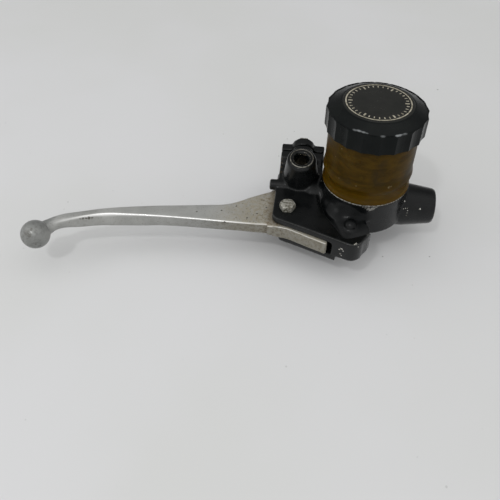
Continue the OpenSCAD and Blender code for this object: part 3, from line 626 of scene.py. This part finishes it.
cloudy = ramp(mottle, 0.35, 0.65)
bead = times(ramp(flat_reach, 0.00690, 0.00705), ramp(flat_reach, 0.00752, 0.00740))
dull = blend_colour(cloudy, (0.018, 0.016, 0.012), (0.050, 0.043, 0.030))
inside = blend_colour(cloudy, (0.28, 0.235, 0.16), (0.62, 0.53, 0.38))
tone = blend_colour(ramp(flat_reach, 0.0054, 0.0050), dull, inside)
bright = blend_colour(ramp(mottle, 0.36, 0.60), (0.085, 0.08, 0.065), (0.34, 0.33, 0.29))
# Towards the front the bead is painted brighter still: a painted highlight on the worn metal.
worn_bead_lit_front = times(bead, ramp(from_hole[1], 0.001, -0.0055, 0.35, 1.0))
fill(shader, {
    "Base Color": blend_colour(worn_bead_lit_front, tone, bright), "Metallic": 0.35,
    "Roughness": ramp(mottle, 0.3, 0.7, 0.32, 0.55)})
bump(mottle, shader, 0.0001, 0.5)
mirror_seat = finish_mesh("mirror_seat", skin("mirror_seat", in_clamp(seat_grid)), bare_seat, 50)
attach(mirror_seat, "housing")


# ---------------------------------------------------------------- cap
# A screw cap moulded in black plastic: a flat disc inside a sloping shoulder, and an upright
# skirt with a ring of shallow finger scallops that bite into the shoulder's crisp edge.
CAP_FLATS, SCALLOP_DEPTH, SCALLOP_SHARE = 20, 0.95, 1.03
CAP_TOP, CAP_R, DISC_R, SLOPE_H = 55.6, 29.8, 20.7, 4.3
HOLLOW_TOP, HOLLOW_R = 52.1, 26.8
SHOULDER = CAP_TOP - SLOPE_H
FACING = math.radians(263.3)
cap_profile = np.concatenate([
    [(0.0, HOLLOW_TOP)],
    rounded([(0.0, HOLLOW_TOP), (HOLLOW_R, HOLLOW_TOP), (HOLLOW_R, CAP_SKIRT),
             (CAP_R - 0.15, CAP_SKIRT)], 0.5),
    np.linspace((CAP_R, CAP_SKIRT + 0.35), (CAP_R, SHOULDER - 0.5), 26),
    rounded([(CAP_R, SHOULDER - 0.45), (CAP_R, SHOULDER - 0.12),
             (CAP_R - 0.35, SHOULDER + 0.12), (CAP_R - 1.4, SHOULDER + 0.35)], 0.4, 4),
    np.linspace((CAP_R - 1.7, SHOULDER + 0.42), (DISC_R + 1.2, CAP_TOP - 0.62), 16),
    rounded([(DISC_R + 1.0, CAP_TOP - 0.55), (DISC_R + 0.35, CAP_TOP - 0.42),
             (DISC_R, CAP_TOP - 0.30), (DISC_R - 0.25, CAP_TOP - 0.02),
             (DISC_R - 0.9, CAP_TOP), (DISC_R - 2.0, CAP_TOP)], 0.3, 4),
    np.linspace((DISC_R - 2.3, CAP_TOP), (0.0, CAP_TOP), 12),
])
cap_grid = turned(cap_profile, (0, 0, 0), CAP_FLATS * 28)
angle = np.arctan2(cap_grid[..., 1], cap_grid[..., 0])
# Each scallop is a shallow hollow: its depth falls as a little over one minus the square of the
# share of the way to the land between two scallops. Points outside its wall are drawn in to it,
# and on the skirt they climb with the slope, from nothing at 5 mm above the skirt's foot.
step = 2 * math.pi / CAP_FLATS
across = np.abs((angle - FACING + step / 2) % step - step / 2) / (step / 2)
limit = CAP_R - SCALLOP_DEPTH * np.clip(SCALLOP_SHARE - across**2, 0, 1)
outer = np.hypot(cap_grid[..., 0], cap_grid[..., 1]) * 1000
height = cap_grid[..., 2] * 1000
over = np.where(outer > HOLLOW_R + 0.7, np.clip(outer - limit, 0, None), 0)
climb_from = CAP_SKIRT + 5
climb = np.clip((height - climb_from) / (SHOULDER - climb_from), 0, 1)
climb *= (CAP_R - limit) * SLOPE_H / (CAP_R - DISC_R)
rise = np.where((over > 0) & (height <= SHOULDER + 0.2), climb, 0)
cap_grid = np.concatenate([
    cap_grid[..., :2] * ((outer - over) / np.maximum(outer, 1e-6))[..., None],
    cap_grid[..., 2:] + rise[..., None] * 0.001], -1)
cap_mesh = skin("cap", cap_grid + np.asarray(seat))
cap_black, tree, shader = new_material("moulded_black")
spot = place_of(tree, seat)
haze = noise(spot, 60.0, 4.0, 0.6)
fine = noise(spot, 1500.0, 3.0, 0.6)
black = blend_colour(ramp(haze, 0.35, 0.7), (0.0035, 0.0046, 0.0046), (0.0068, 0.0080, 0.0077))
on_disc = ramp(far_from(tree, seat, (1, 1, 0)), 0.0211, 0.0203)
dusty = times(on_disc, ramp(haze, 0.30, 0.70, 0.6, 1.0))
black = blend_colour(dusty, black, (0.0205, 0.0208, 0.0188))
black = blend_colour(ramp(fine, 0.66, 0.76, 0.0, 0.2), black, (0.04, 0.04, 0.036))
# Where the scallops bite into the shoulder its edge shines in a few short streaks, painted in pale
# colour as highlights.
cap_tree = tree_of(cap_mesh)
for x, y, size, shine in [
        (354.8, 130.0, 1.6, 0.5), (359.0, 130.8, 1.8, 0.8), (363.5, 132.2, 1.6, 0.7),
        (367.0, 133.2, 1.0, 0.5), (383.0, 136.4, 1.6, 0.45), (397.6, 135.7, 1.5, 1.0),
        (400.5, 135.2, 1.6, 0.9), (405.0, 134.3, 1.8, 0.6)]:
    far = far_from(tree, place_on(cap_tree, x, y)[0], (1, 1, 5))
    painted_streak = ramp(far, size * 0.0012, size * 0.0003, 0.0, shine)
    black = blend_colour(painted_streak, black, (0.20, 0.21, 0.215))
fill(shader, {"Base Color": black, "Roughness": ramp(haze, 0.3, 0.75, 0.19, 0.30),
              "Specular IOR Level": 0.10})
bump(fine, shader, 0.00005, 0.4)
cap = finish_mesh("cap", cap_mesh, cap_black, 60)
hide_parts("reservoir_cap")
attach(cap, "cap")


# ---------------------------------------------------------------- print on the cap
# A thin pale ring and plain tick marks, printed on the cap's disc in worn ink.
RING_R, RING_W, TICKS, TICK_END_R, INK = 18.8, 0.7, 36, 17.5, 0.05


def printed_band(r_in, r_out, a0, a1, count):
    """Grid of a thin raised band: the four edges of its section carried along an arc."""
    radius = np.array([r_in, r_in, r_out, r_out])
    up = CAP_TOP + np.array([-0.05, INK, INK, -0.05])
    return polar(radius, np.linspace(a0, a1, count)[:, None], up) * 0.001 + np.asarray(seat)


ink, tree, shader = new_material("pale_ink")
worn = ramp(noise(place_of(tree, seat), 500.0, 4.0, 0.6), 0.35, 0.62)
fill(shader, {"Base Color": blend_colour(worn, (0.20, 0.18, 0.13), (0.42, 0.39, 0.31)),
              "Roughness": 0.5})
ring = printed_band(RING_R - RING_W / 2, RING_R + RING_W / 2, 0, 2 * math.pi, 181)
bands = [skin("ring", ring[:-1], True)]
for tick in range(TICKS):
    middle = 2 * math.pi * tick / TICKS
    inner, half_turn = (15.0, math.radians(1.7)) if tick % 6 == 0 else (15.9, math.radians(1.1))
    grid = printed_band(inner, TICK_END_R, middle - half_turn, middle + half_turn, 5)
    bands.append(skin("tick", np.concatenate([drawn_in(grid[:1]), grid, drawn_in(grid[-1:])])))
print_mesh = joined("cap_print", *bands)
cap_print = finish_mesh("cap_print", print_mesh, ink)
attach(cap_print, "cap")


# ---------------------------------------------------------------- lever
# Forged in aluminium and polished: a flat hub in the fork, a blade with a crisp crease between
# its top and its front, and a ball at its tip. Brown stains lie beside the fork.
pivot_low, pivot_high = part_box("lever_bush")
pivot = (pivot_low + pivot_high) / 2
LEVER_T, REACH, BALL_R, BALL_Y = 9.0, 155.0, 9.0, -34.5
ROOT_RUN, ROOT_OVERLAP, HUB_CLEAR, HUB_EDGE = 12.0, 9.0, 0.06, 0.7
# The blade from hub to ball, in mm from the pivot: place along and across, then how far its
# back edge, its top-front edge and its bottom-front edge stand to the side, thickness, squareness.
BLADE_FORM = np.array([
    [11.2, 4.4, 18.4, -17.6, -17.5, 9, 9], [21.1, 0.6, 13.8, -13.7, -13.0, 9, 9],
    [30.2, -1.9, 10.4, -10.95, -9.8, 9, 9], [40.5, -3.7, 7.8, -9, -8, 9, 9],
    [49, -4.8, 7.5, -7.8, -7, 9, 9], [61.5, -6, 6.7, -6.65, -5.9, 9, 8.5],
    [70.7, -6.95, 6.25, -5.75, -5.2, 9, 8.5], [82.7, -8.2, 5.8, -4.75, -4.9, 9, 7.5],
    [92.1, -9.45, 5.35, -3.75, -5.2, 8.9, 7.5], [103.7, -11.3, 5, -2.5, -4.8, 8.8, 7],
    [112.7, -13, 4.7, -1.4, -4.5, 8.6, 6.2], [118, -14, 4.5, -1.3, -4.3, 8.4, 5.4],
    [128.1, -16.7, 4.1, -1.7, -4.2, 8, 5], [134, -18.4, 4.1, -2.4, -4.2, 7.8, 4.2],
    [139.1, -20.1, 4.5, -3.3, -3.7, 7.7, 3.3], [143.8, -22.4, 4.8, -3.5, -3.5, 7.6, 2.6],
    [147.3, -25.2, 5.0, -3.7, -3.7, 8.2, 2.1], [150.4, -28.9, 5.6, -4.6, -4.6, 9.6, 2],
])


def smooth_through(rows, count):
    """Rows carried through by a curve that passes each of them: on each stretch a cubic whose
    slope at a row is the mean slope of its two sides."""
    s = rows[:, 0]
    slope = np.gradient(rows, s, axis=0)
    t = np.linspace(s[0], s[-1], count)
    k = np.clip(np.searchsorted(s, t, side="right") - 1, 0, len(s) - 2)
    width = (s[k + 1] - s[k])[:, None]
    u = (t - s[k])[:, None] / width
    return (rows[k] * (2 * u**3 - 3 * u**2 + 1) + slope[k] * width * (u**3 - 2 * u**2 + u)
            + rows[k + 1] * (3 * u**2 - 2 * u**3) + slope[k + 1] * width * (u**3 - u**2))


def blade_grid(sides=128, stations=190):
    """The blade: at each station a squared circle, (cos, sin) raised to two over its squareness,
    is spread between four corners across the blade's middle line. The front corners stand at
    their own distances, so that the front face leans. Over the root's run the stations turn
    from square to the hub to square to the middle line."""
    form = smooth_through(BLADE_FORM, stations)
    middle = np.stack([-form[:, 0], form[:, 1], 0 * form[:, 1]], 1)
    along = np.gradient(middle, axis=0)
    along /= np.linalg.norm(along, axis=1, keepdims=True)
    along[0] = (-1, 0, 0)
    lean = np.clip((form[:, 0] - form[0, 0]) / ROOT_RUN, 0, 1)
    side = np.stack([along[:, 1] * lean, -along[:, 0], 0 * along[:, 0]], 1)
    turn = full_turn(sides)
    power = 2 / form[:, 6:7]
    u = np.sign(np.cos(turn)) * np.abs(np.cos(turn)) ** power
    v = np.sign(np.sin(turn)) * np.abs(np.sin(turn)) ** power
    front = form[:, 3:4] * (1 + v) / 2 + form[:, 4:5] * (1 - v) / 2
    wide = form[:, 2:3] * (1 + u) / 2 + front * (1 - u) / 2
    points = middle[:, None, :] + wide[..., None] * side[:, None, :]
    points[..., 2] += v * form[:, 5:6] / 2
    inside = points[:1] + np.array([ROOT_OVERLAP, 0, 0])
    rows = np.concatenate([drawn_in(inside), inside, points, drawn_in(points[-1:])])
    return rows * 0.001 + np.asarray(pivot)


def ball_grid(centre, radius, rows=48, columns=72):
    """Ball: circles of latitude between two poles."""
    up = np.linspace(-math.pi / 2, math.pi / 2, rows)[:, None]
    points = polar(np.cos(up), full_turn(columns), np.sin(up))
    return (points * radius + centre) * 0.001 + np.asarray(pivot)


HUB_OUTLINE = np.array([
    (-8.0, -13.2), (-3.5, -13.7), (1.1, -14.5), (4.2, -15.6), (7.0, -16.9), (10.3, -18.3),
    (13.6, -19.8), (16.8, -21.1), (20.0, -22.4), (25.2, -24.6), (26.2, -23.8), (26.2, -17.4),
    (24.8, -16.0), (14.0, -9.4), (9.0, -5.6), (9.8, 0.0), (9.5, 2.4), (4.2, 14.0), (4.2, 24.2),
    (3.6, 26.4), (2.1, 27.9), (0.0, 28.4), (-2.1, 27.8), (-3.4, 26.4), (-8.0, 24.0),
])


def slab_grid(outline, thick, edge, rings=5):
    """Side of a slab with rounded edges: the outline drawn inwards by a quarter circle's run-in
    at the top and the bottom."""
    ahead = np.roll(outline, -1, 0) - outline
    ahead /= np.linalg.norm(ahead, axis=1, keepdims=True)
    outward = np.stack([ahead[:, 1], -ahead[:, 0]], 1)
    corner = outward + np.roll(outward, 1, 0)
    corner /= np.maximum((corner**2).sum(1, keepdims=True) / 2, 0.6)
    turn = np.linspace(0, math.pi / 2, rings)
    run_in = np.concatenate([edge * (1 - np.sin(turn)), edge * (1 - np.cos(turn))])
    up = np.concatenate([-thick / 2 + edge * (1 - np.cos(turn)),
                         thick / 2 - edge * (1 - np.sin(turn))])
    rows = outline[None] - corner[None] * run_in[:, None, None]
    return np.concatenate([rows, up[:, None, None] * np.ones((1, len(outline), 1))], -1)


hub_rows = slab_grid(HUB_OUTLINE, LEVER_T - HUB_CLEAR, HUB_EDGE)
lever_mesh = joined(
    "hand_lever", skin("blade", blade_grid()),
    skin("ball", ball_grid(np.array([-REACH, BALL_Y, 0.0]), BALL_R)),
    skin("hub", hub_rows * 0.001 + np.asarray(pivot), lids=True))
lever_tree = tree_of(lever_mesh)

# The alloy: dull grey with specks, warmer and stained at the hub, darker on the ball, and pitted on
# the front.
# The front faces are darkened as painted shade, most by the fork, and a pale painted highlight runs
# along the crease between top and front, where the metal is also smoother.
LEVER_MARKS = {
    "front_scratch": [(80.0, 218.7, 0.5), (83.0, 218.3, 0.8), (86.0, 218.1, 0.7),
                      (89.0, 217.9, 1.1), (92.0, 217.8, 0.8)],
    "ball_dot": [(36.0, 244.2, 0.6)],
    "ball_pits": [(26.5, 232.5, 2.2), (29.5, 235.5, 1.6), (31.0, 229.5, 1.2)],
    "hub_pits": [(221.7, 210.3, 0.7), (236.3, 206.5, 0.5), (247.1, 217.8, 0.7), (224.7, 222.2, 0.9),
                 (196.8, 211.5, 0.7), (243.0, 212.0, 0.5), (262.0, 200.0, 0.6), (257.0, 213.5, 0.7),
                 (266.5, 207.5, 0.8), (250.0, 205.0, 0.4)],
}
alloy, tree, shader = new_material("worn_alloy")
spot = place_of(tree, pivot)
grain = noise(place_of(tree, pivot, (0.12, 1, 1)), 900.0, 4.0, 0.6)
cloud = noise(spot, 60.0, 4.0, 0.6)
pits = noise(spot, 420.0, 5.0, 0.7)
specks = noise(spot, 1100.0, 2.0, 0.5)
along, aside = split(spot)[:2]
facing = tree.nodes.new("ShaderNodeTexCoord").outputs["Normal"]
to_front, to_crease = (
    add(tree, "ShaderNodeVectorMath", {0: facing, 1: way}, operation="DOT_PRODUCT")
    .node.outputs["Value"] for way in ((0.0, -1.0, 0.0), (0.0, -0.66, 0.75)))
# The crease's painted highlight fades towards the ball and beside the fork; the front's painted
# shade and pits towards the ball.
crease_polish_and_highlight = times(ramp(to_crease, 0.86, 0.97), ramp(along, -0.1450, -0.1120, 0.15, 1.0),
                  ramp(along, -0.1485, -0.1460), ramp(along, -0.018, -0.045, 0.35, 1.0))
shaded_rough_front = times(ramp(to_front, 0.55, 0.85), ramp(along, -0.080, -0.025, 0.2, 1.0))
by_fork = times(ramp(along, -0.0240, -0.0095), ramp(aside, -0.0128, -0.0118))
on_ball = ramp(along, -0.1440, -0.1500)
warm = times(ramp(along, -0.055, -0.022), ramp(pits, 0.35, 0.62, 0.25, 0.75))
rust = times(ramp(along, -0.055, -0.030), ramp(noise(spot, 620.0, 4.0, 0.65), 0.60, 0.65))
grime = times(by_fork, ramp(pits, 0.50, 0.60))
metal = blend_colour(ramp(cloud, 0.3, 0.7), (0.285, 0.288, 0.275), (0.35, 0.352, 0.34))
for cover, colour, *how in [
        (times(ramp(specks, 0.60, 0.70), 0.45), (0.12, 0.11, 0.09)),
        (warm, (0.30, 0.265, 0.185)), (times(rust, 0.65), (0.10, 0.070, 0.038)),
        (times(grime, 0.6), (0.10, 0.068, 0.030)),
        (times(ramp(along, -0.0150, -0.0098), by_fork, 0.5), (0.10, 0.070, 0.035)),
        # Painted shade darkens the front faces, then pits mottle them.
        (shaded_rough_front, (0.66, 0.655, 0.64), "MULTIPLY"),
        (times(shaded_rough_front, ramp(pits, 0.48, 0.62, 0.0, 0.55)), (0.10, 0.092, 0.072)),
        (on_ball, (0.66, 0.67, 0.67), "MULTIPLY"),
        (times(on_ball, ramp(pits, 0.50, 0.62, 0.0, 0.5)), (0.11, 0.11, 0.105)),
        # A pale painted highlight along the crease.
        (times(crease_polish_and_highlight, 0.85), (0.78, 0.78, 0.77))]:
    metal = blend_colour(cover, metal, colour, *how)
ragged = noise(spot, 1400.0, 4.0, 0.7)
for group, spots in LEVER_MARKS.items():
    depth = 0.45 if group == "ball_pits" else 0.9
    for x, y, size in spots:
        reach = chip(tree, lever_tree, x, y, size, ragged, 2.6, -0.5)
        metal = blend_colour(ramp(reach, -0.05, 0.15, 0.0, depth), metal, (0.045, 0.038, 0.028))
polish = maths("MULTIPLY_ADD", crease_polish_and_highlight, -0.20, ramp(cloud, 0.3, 0.7, 0.40, 0.52))
fill(shader, {"Base Color": metal, "Metallic": 0.25,
              "Roughness": maths("MULTIPLY_ADD", on_ball, -0.14, polish)})
bump(maths("ADD", grain, times(pits, 0.4)), shader, 0.00012, 0.5)
lever = finish_mesh("hand_lever", lever_mesh, alloy, 60)
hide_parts("lever")
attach(lever, "lever")


# ---------------------------------------------------------------- pivot bolt
# Zinc-plated hexagon bolt, turned to a chamfer on top and yellowed by age; its plain shank is
# the lever's axle and its stud takes the nut under the fork.
def bolt_grid(flats, height, chamfer_r, base, stem, columns=120, dome=0.25, cut=30):
    """Bolt: the stem's profile [radius, height] carried round the axis, then the head, a hexagon
    whose radius is half the flats over the cosine of the angle from the middle of its flat. A
    cone of the cut's angle takes the top corners and the face inside is slightly domed."""
    turn = full_turn(columns)
    reach = flats / 2 / np.cos(turn % (math.pi / 3) - math.pi / 6)
    share = np.concatenate([np.full(5, 0.99), np.linspace(0.985, 0.0, 16)])
    radius = share[:, None] * reach[None, :]
    cone = height - np.maximum(radius - chamfer_r, 0) * math.tan(math.radians(cut))
    level = np.concatenate([np.linspace(0, 1, 5), np.ones(16)])
    fall = dome * np.clip(radius / chamfer_r, 0, 1) ** 2 * (level[:, None] >= 1)
    radius = np.concatenate([stem[:, :1] * np.ones(columns), radius])
    up = np.concatenate([stem[:, 1:] * np.ones(columns), level[:, None] * cone - fall])
    return polar(radius, turn, up) * 0.001 + np.asarray(base)


zinc, tree, shader = new_material("aged_zinc")
spot = place_of(tree)
mottle = noise(spot, 700.0, 4.0, 0.65)
patch = noise(spot, 220.0, 3.0, 0.6)
plate = blend_colour(ramp(mottle, 0.35, 0.65), (0.075, 0.068, 0.045), (0.42, 0.415, 0.375))
plate = blend_colour(ramp(patch, 0.56, 0.66, 0.0, 0.6), plate, (0.10, 0.078, 0.045))
fill(shader, {"Base Color": plate, "Metallic": 0.35,
              "Roughness": ramp(mottle, 0.3, 0.7, 0.35, 0.6)})
bump(mottle, shader, 0.0002, 0.6)
bolt_low, bolt_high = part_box("pivot_bolt")
HEAD_FLATS, HEAD_H, CHAMFER_R, SHANK_R, STUD_R = 9.0, 3.8, 4.15, 4.0, 3.0
PLATES_T = 18.0
head_base = Vector((pivot.x, pivot.y, bolt_high.z - HEAD_H * 0.001))
stud_end = (bolt_low.z - head_base.z) * 1000
stem = np.array([
    (0, stud_end), (STUD_R - 0.5, stud_end), (STUD_R, stud_end + 0.5), (STUD_R, -PLATES_T),
    (SHANK_R, -PLATES_T), (SHANK_R, -PLATES_T / 2), (SHANK_R, 0.0)])
bolt_mesh = skin("lever_bolt", bolt_grid(HEAD_FLATS, HEAD_H, CHAMFER_R, head_base, stem))
bolt = finish_mesh("lever_bolt", bolt_mesh, zinc, 30)
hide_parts("pivot_bolt")
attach(bolt, "housing")


# ---------------------------------------------------------------- return spring
# A coil of spring steel between the piston's cup and the check valve, wound with closer ends.
SPRING_TURNS, WIRE_R, END_DRAW, PISTON_STROKE = 7, 0.0006, 0.45, 0.006758


def coil_grid(low, high, sides=12, stations=400):
    """The wire's round section carried along a helix: its place runs from end to end with the
    turn, less a share of the turn's sine that draws the end coils together."""
    t = np.linspace(0, 1, stations)
    turn = 2 * math.pi * SPRING_TURNS * t
    reach = (high.z - low.z) / 2 - WIRE_R
    run = (high.x - low.x) - 2 * WIRE_R
    middle = np.stack([
        low.x + WIRE_R + run * (t - END_DRAW * np.sin(2 * math.pi * t) / (2 * math.pi)),
        (low.y + high.y) / 2 + reach * np.cos(turn),
        (low.z + high.z) / 2 + reach * np.sin(turn)], 1)
    ahead = np.gradient(middle, axis=0)
    ahead /= np.linalg.norm(ahead, axis=1, keepdims=True)
    outward = np.stack([0 * turn, np.cos(turn), np.sin(turn)], 1)
    beside = np.cross(ahead, outward)
    section = full_turn(sides)[None, :, None]
    points = middle[:, None] + WIRE_R * (np.cos(section) * outward[:, None]
                                         + np.sin(section) * beside[:, None])
    return np.concatenate([drawn_in(points[:1]), points, drawn_in(points[-1:])])


spring_steel, tree, shader = new_material("spring_steel")
drawn = noise(place_of(tree), 400.0, 4.0, 0.6)
steel = blend_colour(ramp(drawn, 0.35, 0.65), (0.40, 0.40, 0.41), (0.56, 0.56, 0.57))
fill(shader, {"Base Color": steel, "Metallic": 1.0,
              "Roughness": ramp(drawn, 0.3, 0.7, 0.24, 0.36)})
bump(drawn, shader, 0.00003, 0.5)
spring_low, spring_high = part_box("return_spring")
spring_mesh = skin("return_coil", coil_grid(spring_low, spring_high))
spring = finish_mesh("return_coil", spring_mesh, spring_steel, 60)
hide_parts("return_spring")
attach(spring, "housing")
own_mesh(spring)


# ---------------------------------------------------------------- parts kept from the CAD model
# The clamp's bolts, the pivot's bush and nut, what is in the bore but for the spring, and what
# is under the cap and the pot keep their shapes; each takes the finish of its stuff.
def plain_stuff(name, colour, colour_b, metallic, rough, scale, depth):
    """Simple finish: two colours clouded together, varied gloss and fine relief."""
    material, tree, shader = new_material(name)
    cloudy = noise(place_of(tree), scale, 4.0, 0.6)
    fill(shader, {"Base Color": blend_colour(ramp(cloudy, 0.35, 0.65), colour, colour_b),
                  "Roughness": ramp(cloudy, 0.3, 0.7, rough * 0.8, rough * 1.2),
                  "Metallic": metallic})
    bump(cloudy, shader, depth, 0.5)
    return material


rubber = plain_stuff("black_rubber", (0.012, 0.012, 0.012), (0.025, 0.025, 0.024),
                     0.0, 0.7, 500.0, 0.0001)
brass = plain_stuff("machined_brass", (0.55, 0.38, 0.13), (0.68, 0.50, 0.20),
                    1.0, 0.3, 300.0, 0.00003)
for stuff, nodes in [
        (rubber, ["reservoir_seal", "diaphragm", "primary_cup", "secondary_cup", "dust_boot"]),
        (brass, ["piston", "check_valve", "lever_bush"]),
        (spring_steel, ["stop_washer", "circlip"]), (cap_black, ["cap_plate"]),
        (zinc, ["pivot_washer", "pivot_nut", "clamp_bolt_upper", "clamp_bolt_lower",
                "clamp_washer_upper", "clamp_washer_lower", "retainer_plate",
                "retainer_screw_1", "retainer_screw_2", "retainer_screw_3"])]:
    for node in nodes:
        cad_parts[node].data.materials.clear()
        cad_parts[node].data.materials.append(stuff)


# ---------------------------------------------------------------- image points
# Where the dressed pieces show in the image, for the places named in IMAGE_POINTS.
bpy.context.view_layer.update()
# A vertex shows where no piece stands between it and the camera. An edge is the outermost
# vertex that shows; a feature is the middle of the vertices of it that show.
MOST_TRIED = 1500
eye = camera.matrix_world.translation
shown = bpy.context.evaluated_depsgraph_get()
trees = {thing.name: BVHTree.FromObject(thing, shown)
         for thing in (casting, clamp_half, pot, mirror_seat, cap, cap_print, lever, bolt)}


def shows(place):
    """True where a ray from the camera to the place meets nothing up to 0.4 mm before it."""
    way = Vector(place) - eye
    return all(tree.ray_cast(eye, way.normalized(), way.length - 0.0004)[0] is None
               for tree in trees.values())


def finished(thing, keep=None):
    """Places of a piece's vertices and their image points, where keep(places, image) is true."""
    places = array_of(thing.data.vertices, "co")
    image = image_of(places)
    kept = keep(places, image) if keep else np.full(len(places), True)
    return places[kept], image[kept]


def edge_at(thing, axis, sign, keep=None):
    """Image x or y of the outermost vertex on one side that shows."""
    places, image = finished(thing, keep)
    for k in np.argsort(-sign * image[:, axis])[:MOST_TRIED]:
        if shows(places[k]):
            return float(image[k, axis])
    return None


def middle_of(thing, keep=None):
    """Middle of the image box of the vertices that show."""
    places, image = finished(thing, keep)
    some = np.arange(0, len(places), max(1, len(places) // MOST_TRIED))
    seen = image[[k for k in some if shows(places[k])]]
    return [float(v) for v in (seen.min(0) + seen.max(0)) / 2]


def within(centre, reach):
    """Keeps the vertices within a reach of a place, in metres."""
    return lambda places, image: np.linalg.norm(places - centre, axis=1) < reach


# The lug ends above an image row; the ball begins at a distance from the pivot; the hole and the
# knob lie within reaches of their middles.
LUG_ROW, BALL_FROM, HOLE_REACH, KNOB_REACH = 170, 0.1475, 0.0056, 0.0038
knob_place = np.asarray(seat) + np.array([-0.00787, -0.0341, -0.0109])
EDGES = {
    "ball_left": (lever, 0, -1), "barrel_right": (casting, 0, 1), "stub_left": (casting, 0, -1),
    "lug_left": (casting, 0, -1, lambda places, image: image[:, 1] < LUG_ROW),
    "arch_top": (clamp_half, 1, -1), "block_bottom": (casting, 1, 1), "cap_left": (cap, 0, -1),
    "cap_right": (cap, 0, 1), "cap_top": (cap, 1, -1), "skirt_bottom": (cap, 1, 1),
}
MIDDLES = {
    "ring_middle": (cap_print,),
    "bolt_head": (bolt, lambda places, image: places[:, 2] > head_base.z),
    "mirror_hole": (mirror_seat, within(boss_place, HOLE_REACH)),
    "ball_middle": (lever, lambda places, image: places[:, 0] < pivot.x - BALL_FROM),
    "pedestal_knob": (casting, within(knob_place, KNOB_REACH)),
}
found = {name: middle_of(*what) for name, what in MIDDLES.items()}
for name, what in EDGES.items():
    found[name] = [edge_at(*what) if axis == what[1] else None for axis in (0, 1)]
for name in ("rim_patch", "block_chip", "barrel_chip"):
    found[name] = [float(v) for v in image_of(place_on(casting_tree, *IMAGE_POINTS[name])[0])[0]]
